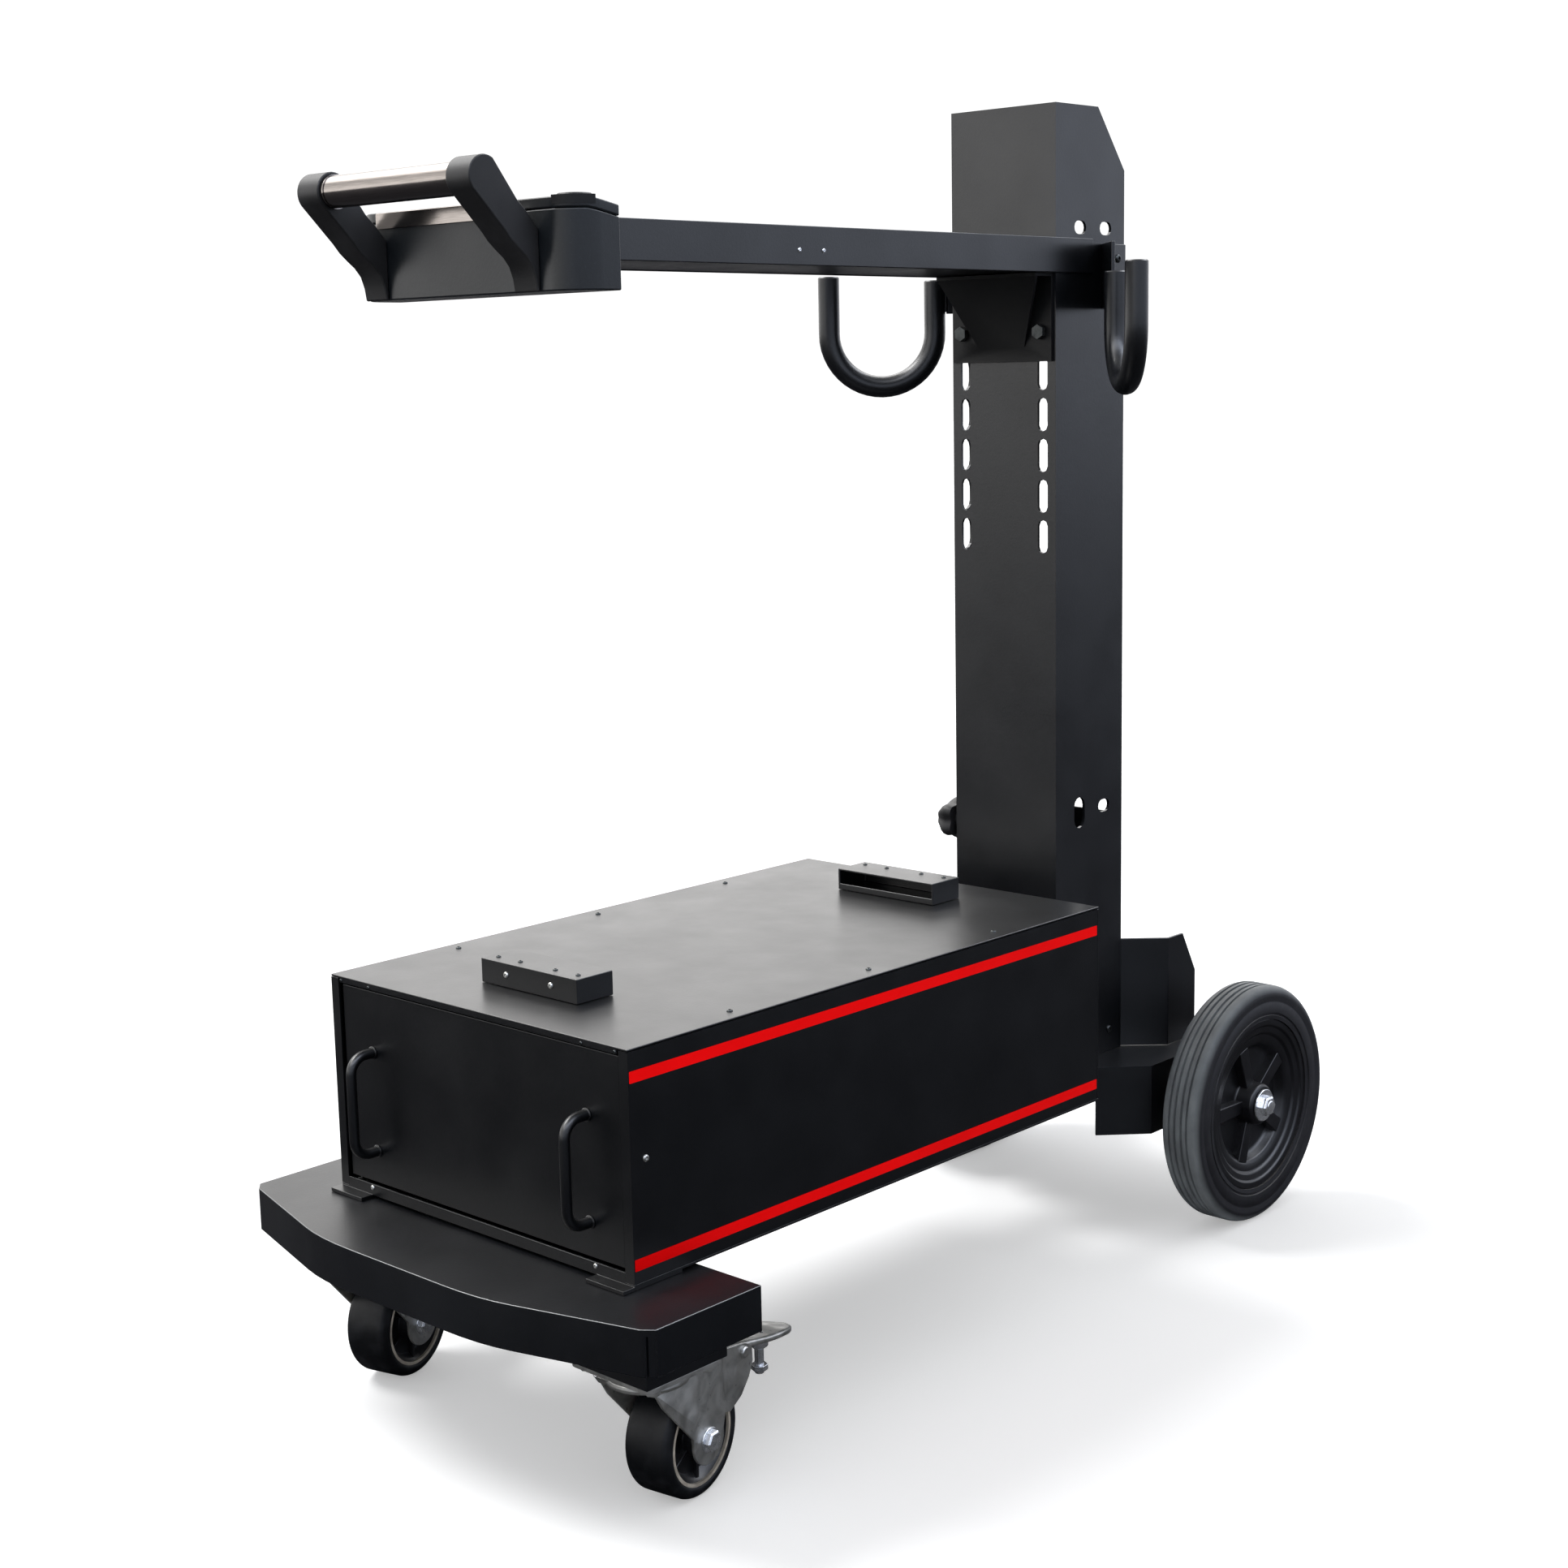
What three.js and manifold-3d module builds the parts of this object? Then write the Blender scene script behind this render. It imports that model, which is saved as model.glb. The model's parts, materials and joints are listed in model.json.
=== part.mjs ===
// A wheeled equipment cart: a low drawer cabinet on two rear wheels and two braked swivel casters,
// with a tall mast behind the cabinet that carries a forward boom, a push handle and two hanging hooks.
// Millimetres, +Z up, the front of the cart towards -Y.
// The origin is on the floor, under the middle of the cart.
import * as THREE from "three";
import { mergeVertices } from "three/addons/utils/BufferGeometryUtils.js";
import Module from "manifold-3d";

const wasm = await Module();
wasm.setup();

// ---------- driving dimensions ----------
const GAP = 0.3; // clearance between pieces that rest on or bolt to each other
const RUN_GAP = 0.4; // radial clearance of a shaft in its hole
const SHEET = 3; // folded structural sheet
const THIN_SHEET = 2; // cabinet sheet

const REAR_WHEEL = { r: 125, rim: 90, bore: 10 + RUN_GAP, y: 425, inner: 157.5, outer: 202.5 };
const AXLE = { r: 10, collar: 15, end: 203 };

const DECK = { half: 252, front: -550, rear: -389, top: 190, skirt: 152, corner: 10, sweep: 39, bend: 130 };
const BEAM = { half: 226, front: -490, rear: -402, bottom: 128 + GAP };
const RAIL = { inner: 46, outer: 86, top: 172.7, height: 20, wall: 2, rear: 478 };
const CROSS = { half: 120, front: 96, rear: 136 };

const HOUSING = { half: 130, shoulder: 89, front: 245, shoulderY: 287, rear: 485, top: 176 };
const APRON = { side: 103, rear: 145 };
const CRADLE = { half: 98.5, flareY: 403, rear: 454, top: 293, notchY: 430, notchZ: 247 };

const MAST = { half: 64, front: 252, rear: 367, top: 1139, chamferY: 322, chamferZ: 1080 };
const SLOT = { width: 12, length: 33, x: 48, sideY: 267.5, sideWidth: 20, lowest: 723, pitch: 40, rows: 7 };
const SIDE_HOLE = { length: 19.5, height: 13, frontY: 292.5, rearY: 335, upperZ: 1023, lowerZ: 441.5 };
const SIDE_SLOT = { y: 292.5, z: 440, width: 18, length: 32 };
const TIE = { y: 352, low: 400, high: 432 };

const CABINET = { half: 186, front: -462, rear: 154, bottom: 193, top: 384, returnLip: 10, topFlange: 20 };
const FOOT = { inner: 143, front: -474, rear: -410 };
const SADDLE = { half: 60, depth: 40, height: 21, frontY: -398, rearY: 100, lip: 6 };

const DRAWER = { half: 168, front: -456.2, rear: 125, bottom: 204, top: 360 };
const DRAWER_FRONT = { half: 173.5, y: -459.5, bottom: 205, top: 376.5 };
const PULL = { x: 135, z: 278, span: 88, reach: 24, r: 4.5, bend: 16 };
const SLIDE = { low: 262, high: 302, inner: 170.5, outer: 183.2, reach: 175, front: -450, rear: 122 };
const SLIDE_SHEET = 1.4;

const ARM = { half: 67.3, front: -405.7, rear: 310, bottom: 979, top: 1012.5 };
const BRACKET = { half: 61, bottom: 894.5, depth: 29, boltZ: 923, webBottom: 908, webHalf: 28 };
const HEAD = { left: -116, right: 148, front: -452, rear: -406, corner: 28 };
const SHELL = { bottom: 952, lid: 1012, top: 1020.5, slopeY: -436, drop: 6 };
const PLUG = { x: 125, y: -430, r: 14.3, height: 2.4 };
const GRIP = { x: 5, y: -501.5, z: 1034, r: 12.5, cheekInner: 77, cheekOuter: 104, eye: 15.5 };

const HOOK = { r: 11, innerX: 112, innerY: 283, spread: 110, innerTop: 979, outerTop: 984.5, bottom: 872 };
const HOOK_PLATE = { sheet: 4, low: 945, high: 1008 };
const KNOB = { y: 264, z: 423, stud: 5, r: 23, neck: 10, length: 29.5 };

const CASTER = { x: 180, y: -446, r: 50, half: 22, trail: 42, plateTop: 128, yawRight: 9, yawLeft: 15 };
const FORK = { inner: 25, outer: 28, crownR: 33, crownTop: 120.7, crownBottom: 111 };
const PEDAL = { pivotV: 96, pivotZ: 104, half: 19, tip: 197 };

// ---------- materials ----------
const paint = (color) => new THREE.MeshStandardMaterial({ color, roughness: 0.55, metalness: 0.15 });
const blackPaint = paint(0x25272a);
const cabinetPaint = paint(0x1b1c1e);
const zinc = new THREE.MeshStandardMaterial({ color: 0xa9a9a4, roughness: 0.42, metalness: 0.9 });
const chrome = new THREE.MeshStandardMaterial({ color: 0xe4e6e8, roughness: 0.12, metalness: 1 });
const stainless = new THREE.MeshStandardMaterial({ color: 0xc9c6c2, roughness: 0.3, metalness: 1 });
const rubber = new THREE.MeshStandardMaterial({ color: 0x2b2c2e, roughness: 0.85, metalness: 0 });
const plastic = new THREE.MeshStandardMaterial({ color: 0x17181a, roughness: 0.6, metalness: 0 });

// ---------- making, joining and cutting solids ----------

// A closed three.js geometry as a manifold solid that faces outwards.
function solid(geometry) {
  const bare = geometry.clone();
  bare.deleteAttribute("normal");
  bare.deleteAttribute("uv");
  const merged = mergeVertices(bare, 1e-3);
  const corners = [...merged.index.array];
  const triangles = [];
  for (let i = 0; i < corners.length; i += 3) {
    const [a, b, c] = corners.slice(i, i + 3);
    if (a !== b && b !== c && a !== c) triangles.push(a, b, c);
  }
  const build = (triVerts) =>
    new wasm.Manifold(
      new wasm.Mesh({
        numProp: 3,
        vertProperties: merged.attributes.position.array,
        triVerts: new Uint32Array(triVerts),
      }),
    );
  const made = build(triangles);
  return made.volume() > 0 ? made : build(triangles.reverse());
}

const join = (first, ...others) => others.reduce((sum, other) => sum.add(other), first);
const cut = (body, ...tools) => tools.reduce((rest, tool) => rest.subtract(tool), body);

// A rectangular block from three [low, high] pairs.
function block([x0, x1], [y0, y1], [z0, z1]) {
  const geometry = new THREE.BoxGeometry(x1 - x0, y1 - y0, z1 - z0);
  return solid(geometry.translate((x0 + x1) / 2, (y0 + y1) / 2, (z0 + z1) / 2));
}

const shapeOf = (outline) => {
  if (outline instanceof THREE.Shape) return outline;
  return new THREE.Shape(outline.map(([a, b]) => new THREE.Vector2(a, b)));
};

// An outline pushed along an axis.
// Its two coordinates are (x, y) along "z", (y, z) along "x" and (z, x) along "y".
function prism(axis, outline, low, high, curveSegments = 4) {
  const geometry = new THREE.ExtrudeGeometry(shapeOf(outline), {
    depth: high - low,
    bevelEnabled: false,
    curveSegments,
  }).translate(0, 0, low);
  const x = new THREE.Vector3(1, 0, 0);
  const y = new THREE.Vector3(0, 1, 0);
  const z = new THREE.Vector3(0, 0, 1);
  const bases = { x: [y, z, x], y: [z, x, y], z: [x, y, z] };
  return solid(geometry.applyMatrix4(new THREE.Matrix4().makeBasis(...bases[axis])));
}

// Turns a geometry whose own axis is Y so that the axis lies along the one named.
function alongAxis(geometry, axis) {
  if (axis === "x") geometry.rotateZ(-Math.PI / 2);
  if (axis === "z") geometry.rotateX(Math.PI / 2);
  return geometry;
}

// A round bar between two stations on an axis, through a centre point.
function rod(axis, centre, r, low, high, segments = 16) {
  const geometry = alongAxis(new THREE.CylinderGeometry(r, r, high - low, segments), axis);
  const place = new THREE.Vector3(...centre);
  place[axis] = (low + high) / 2;
  return solid(geometry.translate(place.x, place.y, place.z));
}

// A body of revolution: the profile is a list of [radius, station along the axis].
function turned(axis, centre, profile, segments = 28) {
  const points = profile.map(([r, s]) => new THREE.Vector2(r, s));
  const geometry = alongAxis(new THREE.LatheGeometry(points, segments), axis);
  return solid(geometry.translate(...centre));
}

// A closed profile comes back to its first point.
const closed = (profile) => [...profile, profile[0]];

// A round bar bent along a curve.
function bentBar(curve, r, sides, steps) {
  const section = new THREE.Shape();
  for (let i = 0; i < sides; i++) {
    const a = (2 * Math.PI * i) / sides;
    const corner = [r * Math.cos(a), r * Math.sin(a)];
    if (i) section.lineTo(...corner);
    else section.moveTo(...corner);
  }
  return solid(new THREE.ExtrudeGeometry(section, { steps, extrudePath: curve, bevelEnabled: false }));
}

// The outline of a sheet of the given thickness folded along a line of points, mitred at the folds.
function foldedSheet(line, thickness) {
  const points = line.map(([a, b]) => new THREE.Vector2(a, b));
  const normal = (i) => {
    const d = points[i + 1].clone().sub(points[i]).normalize();
    return new THREE.Vector2(-d.y, d.x);
  };
  const edge = (side) =>
    points.map((p, i) => {
      const before = normal(Math.max(i - 1, 0));
      const after = normal(Math.min(i, points.length - 2));
      const mitre = before.clone().add(after).normalize();
      return p.clone().addScaledVector(mitre, (side * thickness) / 2 / mitre.dot(after));
    });
  return [...edge(1), ...edge(-1).reverse()].map((p) => [p.x, p.y]);
}

// A slot with round ends, its long side along the first coordinate.
function slotShape(a, b, length, width) {
  const r = width / 2;
  const reach = length / 2 - r;
  const shape = new THREE.Shape();
  shape.absarc(a + reach, b, r, -Math.PI / 2, Math.PI / 2, false);
  shape.absarc(a - reach, b, r, Math.PI / 2, (3 * Math.PI) / 2, false);
  return shape;
}

// A hexagonal head on an axis.
const hexHead = (axis, centre, r, low, high) => rod(axis, centre, r, low, high, 6);

// ---------- the parent group ----------
const cart = new THREE.Group();

// Adds a solid to a group as a named mesh.
function add(group, name, body, material) {
  const { vertProperties, numProp, triVerts } = body.getMesh();
  const positions = new Float32Array((vertProperties.length / numProp) * 3);
  for (let i = 0; i < positions.length / 3; i++)
    positions.set(vertProperties.subarray(i * numProp, i * numProp + 3), i * 3);
  const indexed = new THREE.BufferGeometry()
    .setAttribute("position", new THREE.BufferAttribute(positions, 3))
    .setIndex(new THREE.BufferAttribute(new Uint32Array(triVerts), 1));
  const faceted = indexed.toNonIndexed();
  faceted.computeVertexNormals();
  const mesh = new THREE.Mesh(faceted, material);
  mesh.name = name;
  group.add(mesh);
}

const SIDES = [
  ["R", 1],
  ["L", -1],
];
// A pair of stations on one side of the cart, in rising order.
const span = (side, near, far) => (side > 0 ? [near, far] : [-far, -near]);

// ---------- chassis ----------

// The deck's plan: straight sides, a small facet at each front corner, swept front edges and a flat middle.
function deckPlan(inset, rear) {
  const w = DECK.half - inset;
  const f = DECK.front + inset;
  const half = [
    [w, rear],
    [w, f + DECK.sweep + 8],
    [w - DECK.corner, f + DECK.sweep],
    [DECK.bend, f + 8],
  ];
  const shape = new THREE.Shape();
  half.forEach(([x, y], i) => (i ? shape.lineTo(x, y) : shape.moveTo(x, y)));
  shape.quadraticCurveTo(101, f, 60, f);
  shape.lineTo(-60, f);
  shape.quadraticCurveTo(-101, f, -DECK.bend, f + 8);
  half
    .slice(0, -1)
    .reverse()
    .forEach(([x, y]) => shape.lineTo(-x, y));
  return shape;
}

function deckTray() {
  const outside = prism("z", deckPlan(0, DECK.rear), DECK.skirt, DECK.top);
  const inside = prism("z", deckPlan(SHEET, DECK.rear + 5), DECK.skirt - 1, DECK.top - SHEET);
  const seams = SIDES.map(([, side]) =>
    block(
      span(side, DECK.half - 6.5, DECK.half - 5.3),
      [DECK.front + DECK.sweep - 10, DECK.front + DECK.sweep + 12],
      [DECK.skirt - 1, DECK.top - 6],
    ),
  );
  return cut(outside, inside, ...seams);
}

// A channel across the deck, open upwards and closed at its ends, that carries the caster plates.
function casterBeam() {
  const y0 = BEAM.front + SHEET / 2;
  const y1 = BEAM.rear - SHEET / 2;
  const floor = BEAM.bottom + SHEET / 2;
  const top = DECK.top - SHEET - GAP;
  const section = foldedSheet(
    [
      [y0, top],
      [y0, floor],
      [y1, floor],
      [y1, top],
    ],
    SHEET,
  );
  const ends = SIDES.map(([, side]) =>
    block(span(side, BEAM.half - SHEET, BEAM.half), [BEAM.front, BEAM.rear], [BEAM.bottom, top]),
  );
  return join(prism("x", section, -BEAM.half, BEAM.half), ...ends);
}

function chassisRail(side) {
  const y = [BEAM.rear + GAP, RAIL.rear];
  const outer = block(span(side, RAIL.inner, RAIL.outer), y, [RAIL.top - RAIL.height, RAIL.top]);
  const bore = block(
    span(side, RAIL.inner + RAIL.wall, RAIL.outer - RAIL.wall),
    [y[0] - 1, y[1] + 1],
    [RAIL.top - RAIL.height + RAIL.wall, RAIL.top - RAIL.wall],
  );
  return cut(outer, bore);
}

// The tube across the rails that the back of the cabinet stands on.
function rearCrossMember() {
  const z = [RAIL.top + GAP, CABINET.bottom - GAP];
  const outer = block([-CROSS.half, CROSS.half], [CROSS.front, CROSS.rear], z);
  const w = RAIL.wall;
  const bore = block(
    [-CROSS.half - 1, CROSS.half + 1],
    [CROSS.front + w, CROSS.rear - w],
    [z[0] + w, z[1] - w],
  );
  return cut(outer, bore);
}

// The rear deck: a flat top with 45 degree front shoulders, deep side aprons that hold the axle
// and a shallow rear one.
function axleHousing() {
  const { half, shoulder, front, shoulderY, rear, top } = HOUSING;
  const shoulderEnd = shoulderY + half - shoulder;
  const plan = [
    [-shoulder, front],
    [shoulder, front],
    [shoulder, shoulderY],
    [half, shoulderEnd],
    [half, rear],
    [-half, rear],
    [-half, shoulderEnd],
    [-shoulder, shoulderY],
  ];
  const plate = prism("z", plan, top - SHEET, top);
  const inset = SHEET / 2;
  const aprons = SIDES.map(([, side]) => {
    const line = [
      [side * (shoulder - inset * 0.7), shoulderY + inset * 0.7],
      [side * (half - inset), shoulderEnd + inset * 0.4],
      [side * (half - inset), rear],
    ];
    return prism("z", foldedSheet(line, SHEET), APRON.side, top - 0.5);
  });
  const web = block([-half, half], [rear - SHEET, rear], [APRON.rear, top - 0.5]);
  const axleHole = rod("x", [0, REAR_WHEEL.y, REAR_WHEEL.r], AXLE.r + RUN_GAP, -half - 1, half + 1, 24);
  return cut(join(plate, ...aprons, web), axleHole);
}

function rearAxle() {
  const centre = [0, REAR_WHEEL.y, REAR_WHEEL.r];
  const bar = rod("x", centre, AXLE.r, -AXLE.end, AXLE.end, 20);
  const collars = SIDES.map(([, side]) =>
    rod("x", centre, AXLE.collar, ...span(side, HOUSING.half + GAP, REAR_WHEEL.inner - 1), 20),
  );
  return join(bar, ...collars);
}

// The hexagon bolt and washer that close one end of the axle.
function axleBolt(side) {
  const centre = [0, REAR_WHEEL.y, REAR_WHEEL.r];
  const washer = rod("x", centre, 17, ...span(side, AXLE.end + GAP, AXLE.end + 2.8));
  const head = hexHead("x", centre, 11, ...span(side, AXLE.end + 2.5, AXLE.end + 10));
  return join(washer, head);
}

// One flared side of the bottle cradle behind the mast: a flange inside the mast, a 45 degree wing
// and a straight side.
function bottleCradle(side) {
  const inner = MAST.half - SHEET - GAP - SHEET / 2;
  const plan = foldedSheet(
    [
      [side * inner, MAST.rear - 37],
      [side * inner, MAST.rear + 1],
      [side * CRADLE.half, CRADLE.flareY],
      [side * CRADLE.half, CRADLE.rear],
    ],
    SHEET,
  );
  const wing = prism("z", plan, HOUSING.top + GAP, CRADLE.top);
  const notch = [
    [CRADLE.notchY, CRADLE.top + 0.01],
    [CRADLE.rear + 1, CRADLE.notchZ],
    [CRADLE.rear + 1, CRADLE.top + 1],
    [CRADLE.notchY, CRADLE.top + 1],
  ];
  return cut(wing, prism("x", notch, -CRADLE.half - 5, CRADLE.half + 5));
}

// ---------- mast ----------

// A slot shape turned so that its long side lies along the second coordinate.
function uprightSlot(a, b, length, width) {
  const flat = slotShape(0, 0, length, width);
  return new THREE.Shape(flat.getPoints(3).map((p) => new THREE.Vector2(a - p.y, b + p.x)));
}

// The rows of bolt slots: two in the front of the mast and one beside them in its left side.
function mastSlots() {
  const cuts = [];
  for (let row = 0; row < SLOT.rows; row++) {
    const z = SLOT.lowest + row * SLOT.pitch;
    for (const [, side] of SIDES) {
      const shape = slotShape(z, side * SLOT.x, SLOT.length, SLOT.width);
      cuts.push(prism("y", shape, MAST.front - 1, MAST.front + SHEET + 1, 2));
    }
    const shape = uprightSlot(SLOT.sideY, z, SLOT.length, SLOT.sideWidth);
    cuts.push(prism("x", shape, -MAST.half - 1, -MAST.half + SHEET + 1));
  }
  return cuts;
}

// The holes that go through both sides of the mast: three short ones and a tall slot.
function mastSideHoles() {
  const { length, height, frontY, rearY, upperZ, lowerZ } = SIDE_HOLE;
  const places = [
    [frontY, upperZ],
    [rearY, upperZ],
    [rearY, lowerZ],
  ];
  const shapes = places.map(([y, z]) => slotShape(y, z, length, height));
  shapes.push(uprightSlot(SIDE_SLOT.y, SIDE_SLOT.z, SIDE_SLOT.length, SIDE_SLOT.width));
  return shapes.map((shape) => prism("x", shape, -MAST.half - 1, MAST.half + 1, 3));
}

// The mast: a channel open to the rear, with a closed top, a chamfered upper rear corner
// and a tie strap across the opening at the height of the knob.
function mast() {
  const { half, front, rear, top, chamferY, chamferZ } = MAST;
  const plan = [
    [-half, front],
    [half, front],
    [half, rear],
    [half - SHEET, rear],
    [half - SHEET, front + SHEET],
    [-half + SHEET, front + SHEET],
    [-half + SHEET, rear],
    [-half, rear],
  ];
  const channel = prism("z", plan, HOUSING.top + GAP, top);
  const lid = block([-half, half], [front, chamferY], [top - SHEET, top]);
  const tie = block([-half + 1, half - 1], [TIE.y, TIE.y + SHEET], [TIE.low, TIE.high]);
  const chamfer = [
    [chamferY, top + 0.01],
    [rear + 0.01, chamferZ],
    [rear + 2, chamferZ],
    [rear + 2, top + 2],
    [chamferY, top + 2],
  ];
  const studHole = rod("x", [0, KNOB.y, KNOB.z], KNOB.stud + RUN_GAP, -half - 1, -half + SHEET + 1);
  const chamferCut = prism("x", chamfer, -half - 1, half + 1);
  return cut(join(channel, lid, tie), chamferCut, ...mastSlots(), ...mastSideHoles(), studHole);
}

// The plate inside the foot of the mast, with the heads of its four bolts.
function mastFoot() {
  const w = MAST.half - SHEET - GAP - SHEET - GAP;
  const y = [MAST.front + SHEET + GAP, MAST.rear - 2];
  const z = [HOUSING.top + GAP, HOUSING.top + 6];
  const heads = [];
  for (const [, side] of SIDES)
    for (const inset of [18, 95]) {
      const centre = [side * 38, y[0] + inset, 0];
      heads.push(hexHead("z", centre, 8, z[1] - 0.5, z[1] + 6));
    }
  return join(block([-w, w], y, z), ...heads);
}

// The clamping knob's profile, from the end of its stud inside the mast to its crown.
function mastKnob() {
  const wall = -MAST.half;
  const profile = [
    [0, wall + 14],
    [KNOB.stud, wall + 14],
    [KNOB.stud, wall - 0.6],
    [KNOB.neck, wall - 0.6],
    [KNOB.neck, wall - 4],
    [KNOB.r - 2, wall - 6],
    [KNOB.r, wall - 11],
    [KNOB.r - 3, wall - 18],
    [12, wall - 26],
    [7, wall - KNOB.length],
    [0, wall - KNOB.length],
  ];
  const body = turned("x", [0, KNOB.y, KNOB.z], profile, 20);
  const flutes = [];
  for (let i = 0; i < 5; i++) {
    const a = (2 * Math.PI * (i + 0.5)) / 5;
    const reach = KNOB.r + 4.5;
    const centre = [0, KNOB.y + reach * Math.cos(a), KNOB.z + reach * Math.sin(a)];
    flutes.push(rod("x", centre, 8, wall - KNOB.length - 1, wall - 4.5, 8));
  }
  return cut(body, ...flutes);
}

// ---------- cabinet ----------

function cabinetBottom() {
  const { half, front, rear, bottom, returnLip } = CABINET;
  const t = THIN_SHEET;
  const floor = block([-half, half], [front, rear], [bottom, bottom + t]);
  const lip = block([-half + returnLip, half - returnLip], [front, front + t], [bottom, bottom + 10]);
  const feet = SIDES.map(([, side]) =>
    block(span(side, FOOT.inner, half), [FOOT.front, FOOT.rear], [DECK.top + GAP, bottom + 0.5]),
  );
  return join(floor, lip, ...feet);
}

function cabinetSide(side) {
  const { half, front, rear, bottom, top, returnLip, topFlange } = CABINET;
  const t = THIN_SHEET;
  const z = [bottom + t + GAP, top - t - GAP];
  const wall = block(span(side, half - t, half), [front, rear - t - GAP], z);
  const lip = block(span(side, half - returnLip, half), [front, front + t], z);
  const y = [front + t + GAP, rear - t - GAP];
  const flange = block(span(side, half - topFlange, half), y, [z[1] - t, z[1]]);
  return join(wall, lip, flange);
}

function cabinetTop() {
  const { half, front, rear, top } = CABINET;
  const t = THIN_SHEET;
  const sheet = block([-half, half], [front, rear], [top - t, top]);
  const hem = block([-half + 12, half - 12], [front, front + t - GAP], [top - 6, top - t + 0.5]);
  return join(sheet, hem);
}

function cabinetRear() {
  const { half, rear, bottom, top } = CABINET;
  const t = THIN_SHEET;
  return block([-half, half], [rear - t, rear], [bottom + t + GAP, top - t - GAP]);
}

// A low box bracket on the cabinet: closed on the side that faces away from the other one,
// open with a lip inwards.
function saddle(y, facing) {
  const { half, depth, height, lip } = SADDLE;
  const t = THIN_SHEET;
  const z = CABINET.top + GAP;
  const front = y - depth / 2;
  const rear = y + depth / 2;
  const outer = block([-half, half], [front, rear], [z, z + height]);
  const hollow = block([-half + t, half - t], [front + t, rear - t], [z + t, z + height - t]);
  const open = y + (facing * depth) / 2;
  const mouth = block([-half + t, half - t], [open - t - 1, open + t + 1], [z + lip, z + height - t]);
  return cut(outer, hollow, mouth);
}

// The fixed channel of a drawer slide, open towards the drawer.
function slideOuter(side) {
  const { low, high, inner, outer, front, rear } = SLIDE;
  const h = SLIDE_SHEET / 2;
  const section = foldedSheet(
    [
      [low + h, side * inner],
      [low + h, side * (outer - h)],
      [high - h, side * (outer - h)],
      [high - h, side * inner],
    ],
    SLIDE_SHEET,
  );
  return prism("y", section, front, rear);
}

// ---------- drawer ----------

function drawerTray() {
  const { half, front, rear, bottom, top } = DRAWER;
  const t = THIN_SHEET;
  const outer = block([-half, half], [front, rear], [bottom, top]);
  const inner = block([-half + t, half - t], [front + t, rear - t], [bottom + t, top + 1]);
  return cut(outer, inner);
}

function drawerFront() {
  const { half, y, bottom, top } = DRAWER_FRONT;
  return block([-half, half], [y, y + SHEET], [bottom, top]);
}

// A bow pull: two standoffs and an upright grip in one bent bar.
function drawerPull(side) {
  const { x, z, span: height, reach, bend, r } = PULL;
  const y0 = DRAWER_FRONT.y - GAP;
  const y1 = y0 - reach;
  const at = (y, height2) => new THREE.Vector3(side * x, y, z + height2);
  const h = height / 2;
  const path = new THREE.CurvePath();
  path.add(new THREE.LineCurve3(at(y0, h), at(y1 + bend, h)));
  path.add(new THREE.QuadraticBezierCurve3(at(y1 + bend, h), at(y1, h), at(y1, h - bend)));
  path.add(new THREE.LineCurve3(at(y1, h - bend), at(y1, bend - h)));
  path.add(new THREE.QuadraticBezierCurve3(at(y1, bend - h), at(y1, -h), at(y1 + bend, -h)));
  path.add(new THREE.LineCurve3(at(y1 + bend, -h), at(y0, -h)));
  return bentBar(path, r, 8, 20);
}

function slideInner(side) {
  const { low, high, reach, front, rear } = SLIDE;
  const h = SLIDE_SHEET / 2;
  const web = DRAWER.half + GAP + h;
  const section = foldedSheet(
    [
      [low + 4, side * reach],
      [low + 4, side * web],
      [high - 4, side * web],
      [high - 4, side * reach],
    ],
    SLIDE_SHEET,
  );
  return prism("y", section, front, rear);
}

// ---------- boom, head and handle ----------

// The boom: an inverted channel whose side flanges run on along both sides of the mast.
function boom() {
  const { half, front, rear, bottom, top } = ARM;
  const x = half - SHEET / 2;
  const section = foldedSheet(
    [
      [bottom, -x],
      [top - SHEET / 2, -x],
      [top - SHEET / 2, x],
      [bottom, x],
    ],
    SHEET,
  );
  const beam = prism("y", section, front, rear);
  const clear = MAST.half + GAP;
  const passage = block([-clear, clear], [MAST.front - GAP, rear + 1], [bottom - 1, top + 1]);
  return cut(beam, passage);
}

// The tray that closes the boom from below.
function boomCover() {
  const x = ARM.half - SHEET - GAP - 1;
  const section = foldedSheet(
    [
      [ARM.bottom + 20, -x],
      [ARM.bottom + 2, -x],
      [ARM.bottom + 2, x],
      [ARM.bottom + 20, x],
    ],
    THIN_SHEET,
  );
  return prism("y", section, ARM.front + 1, MAST.front - SHEET - 1);
}

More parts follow.
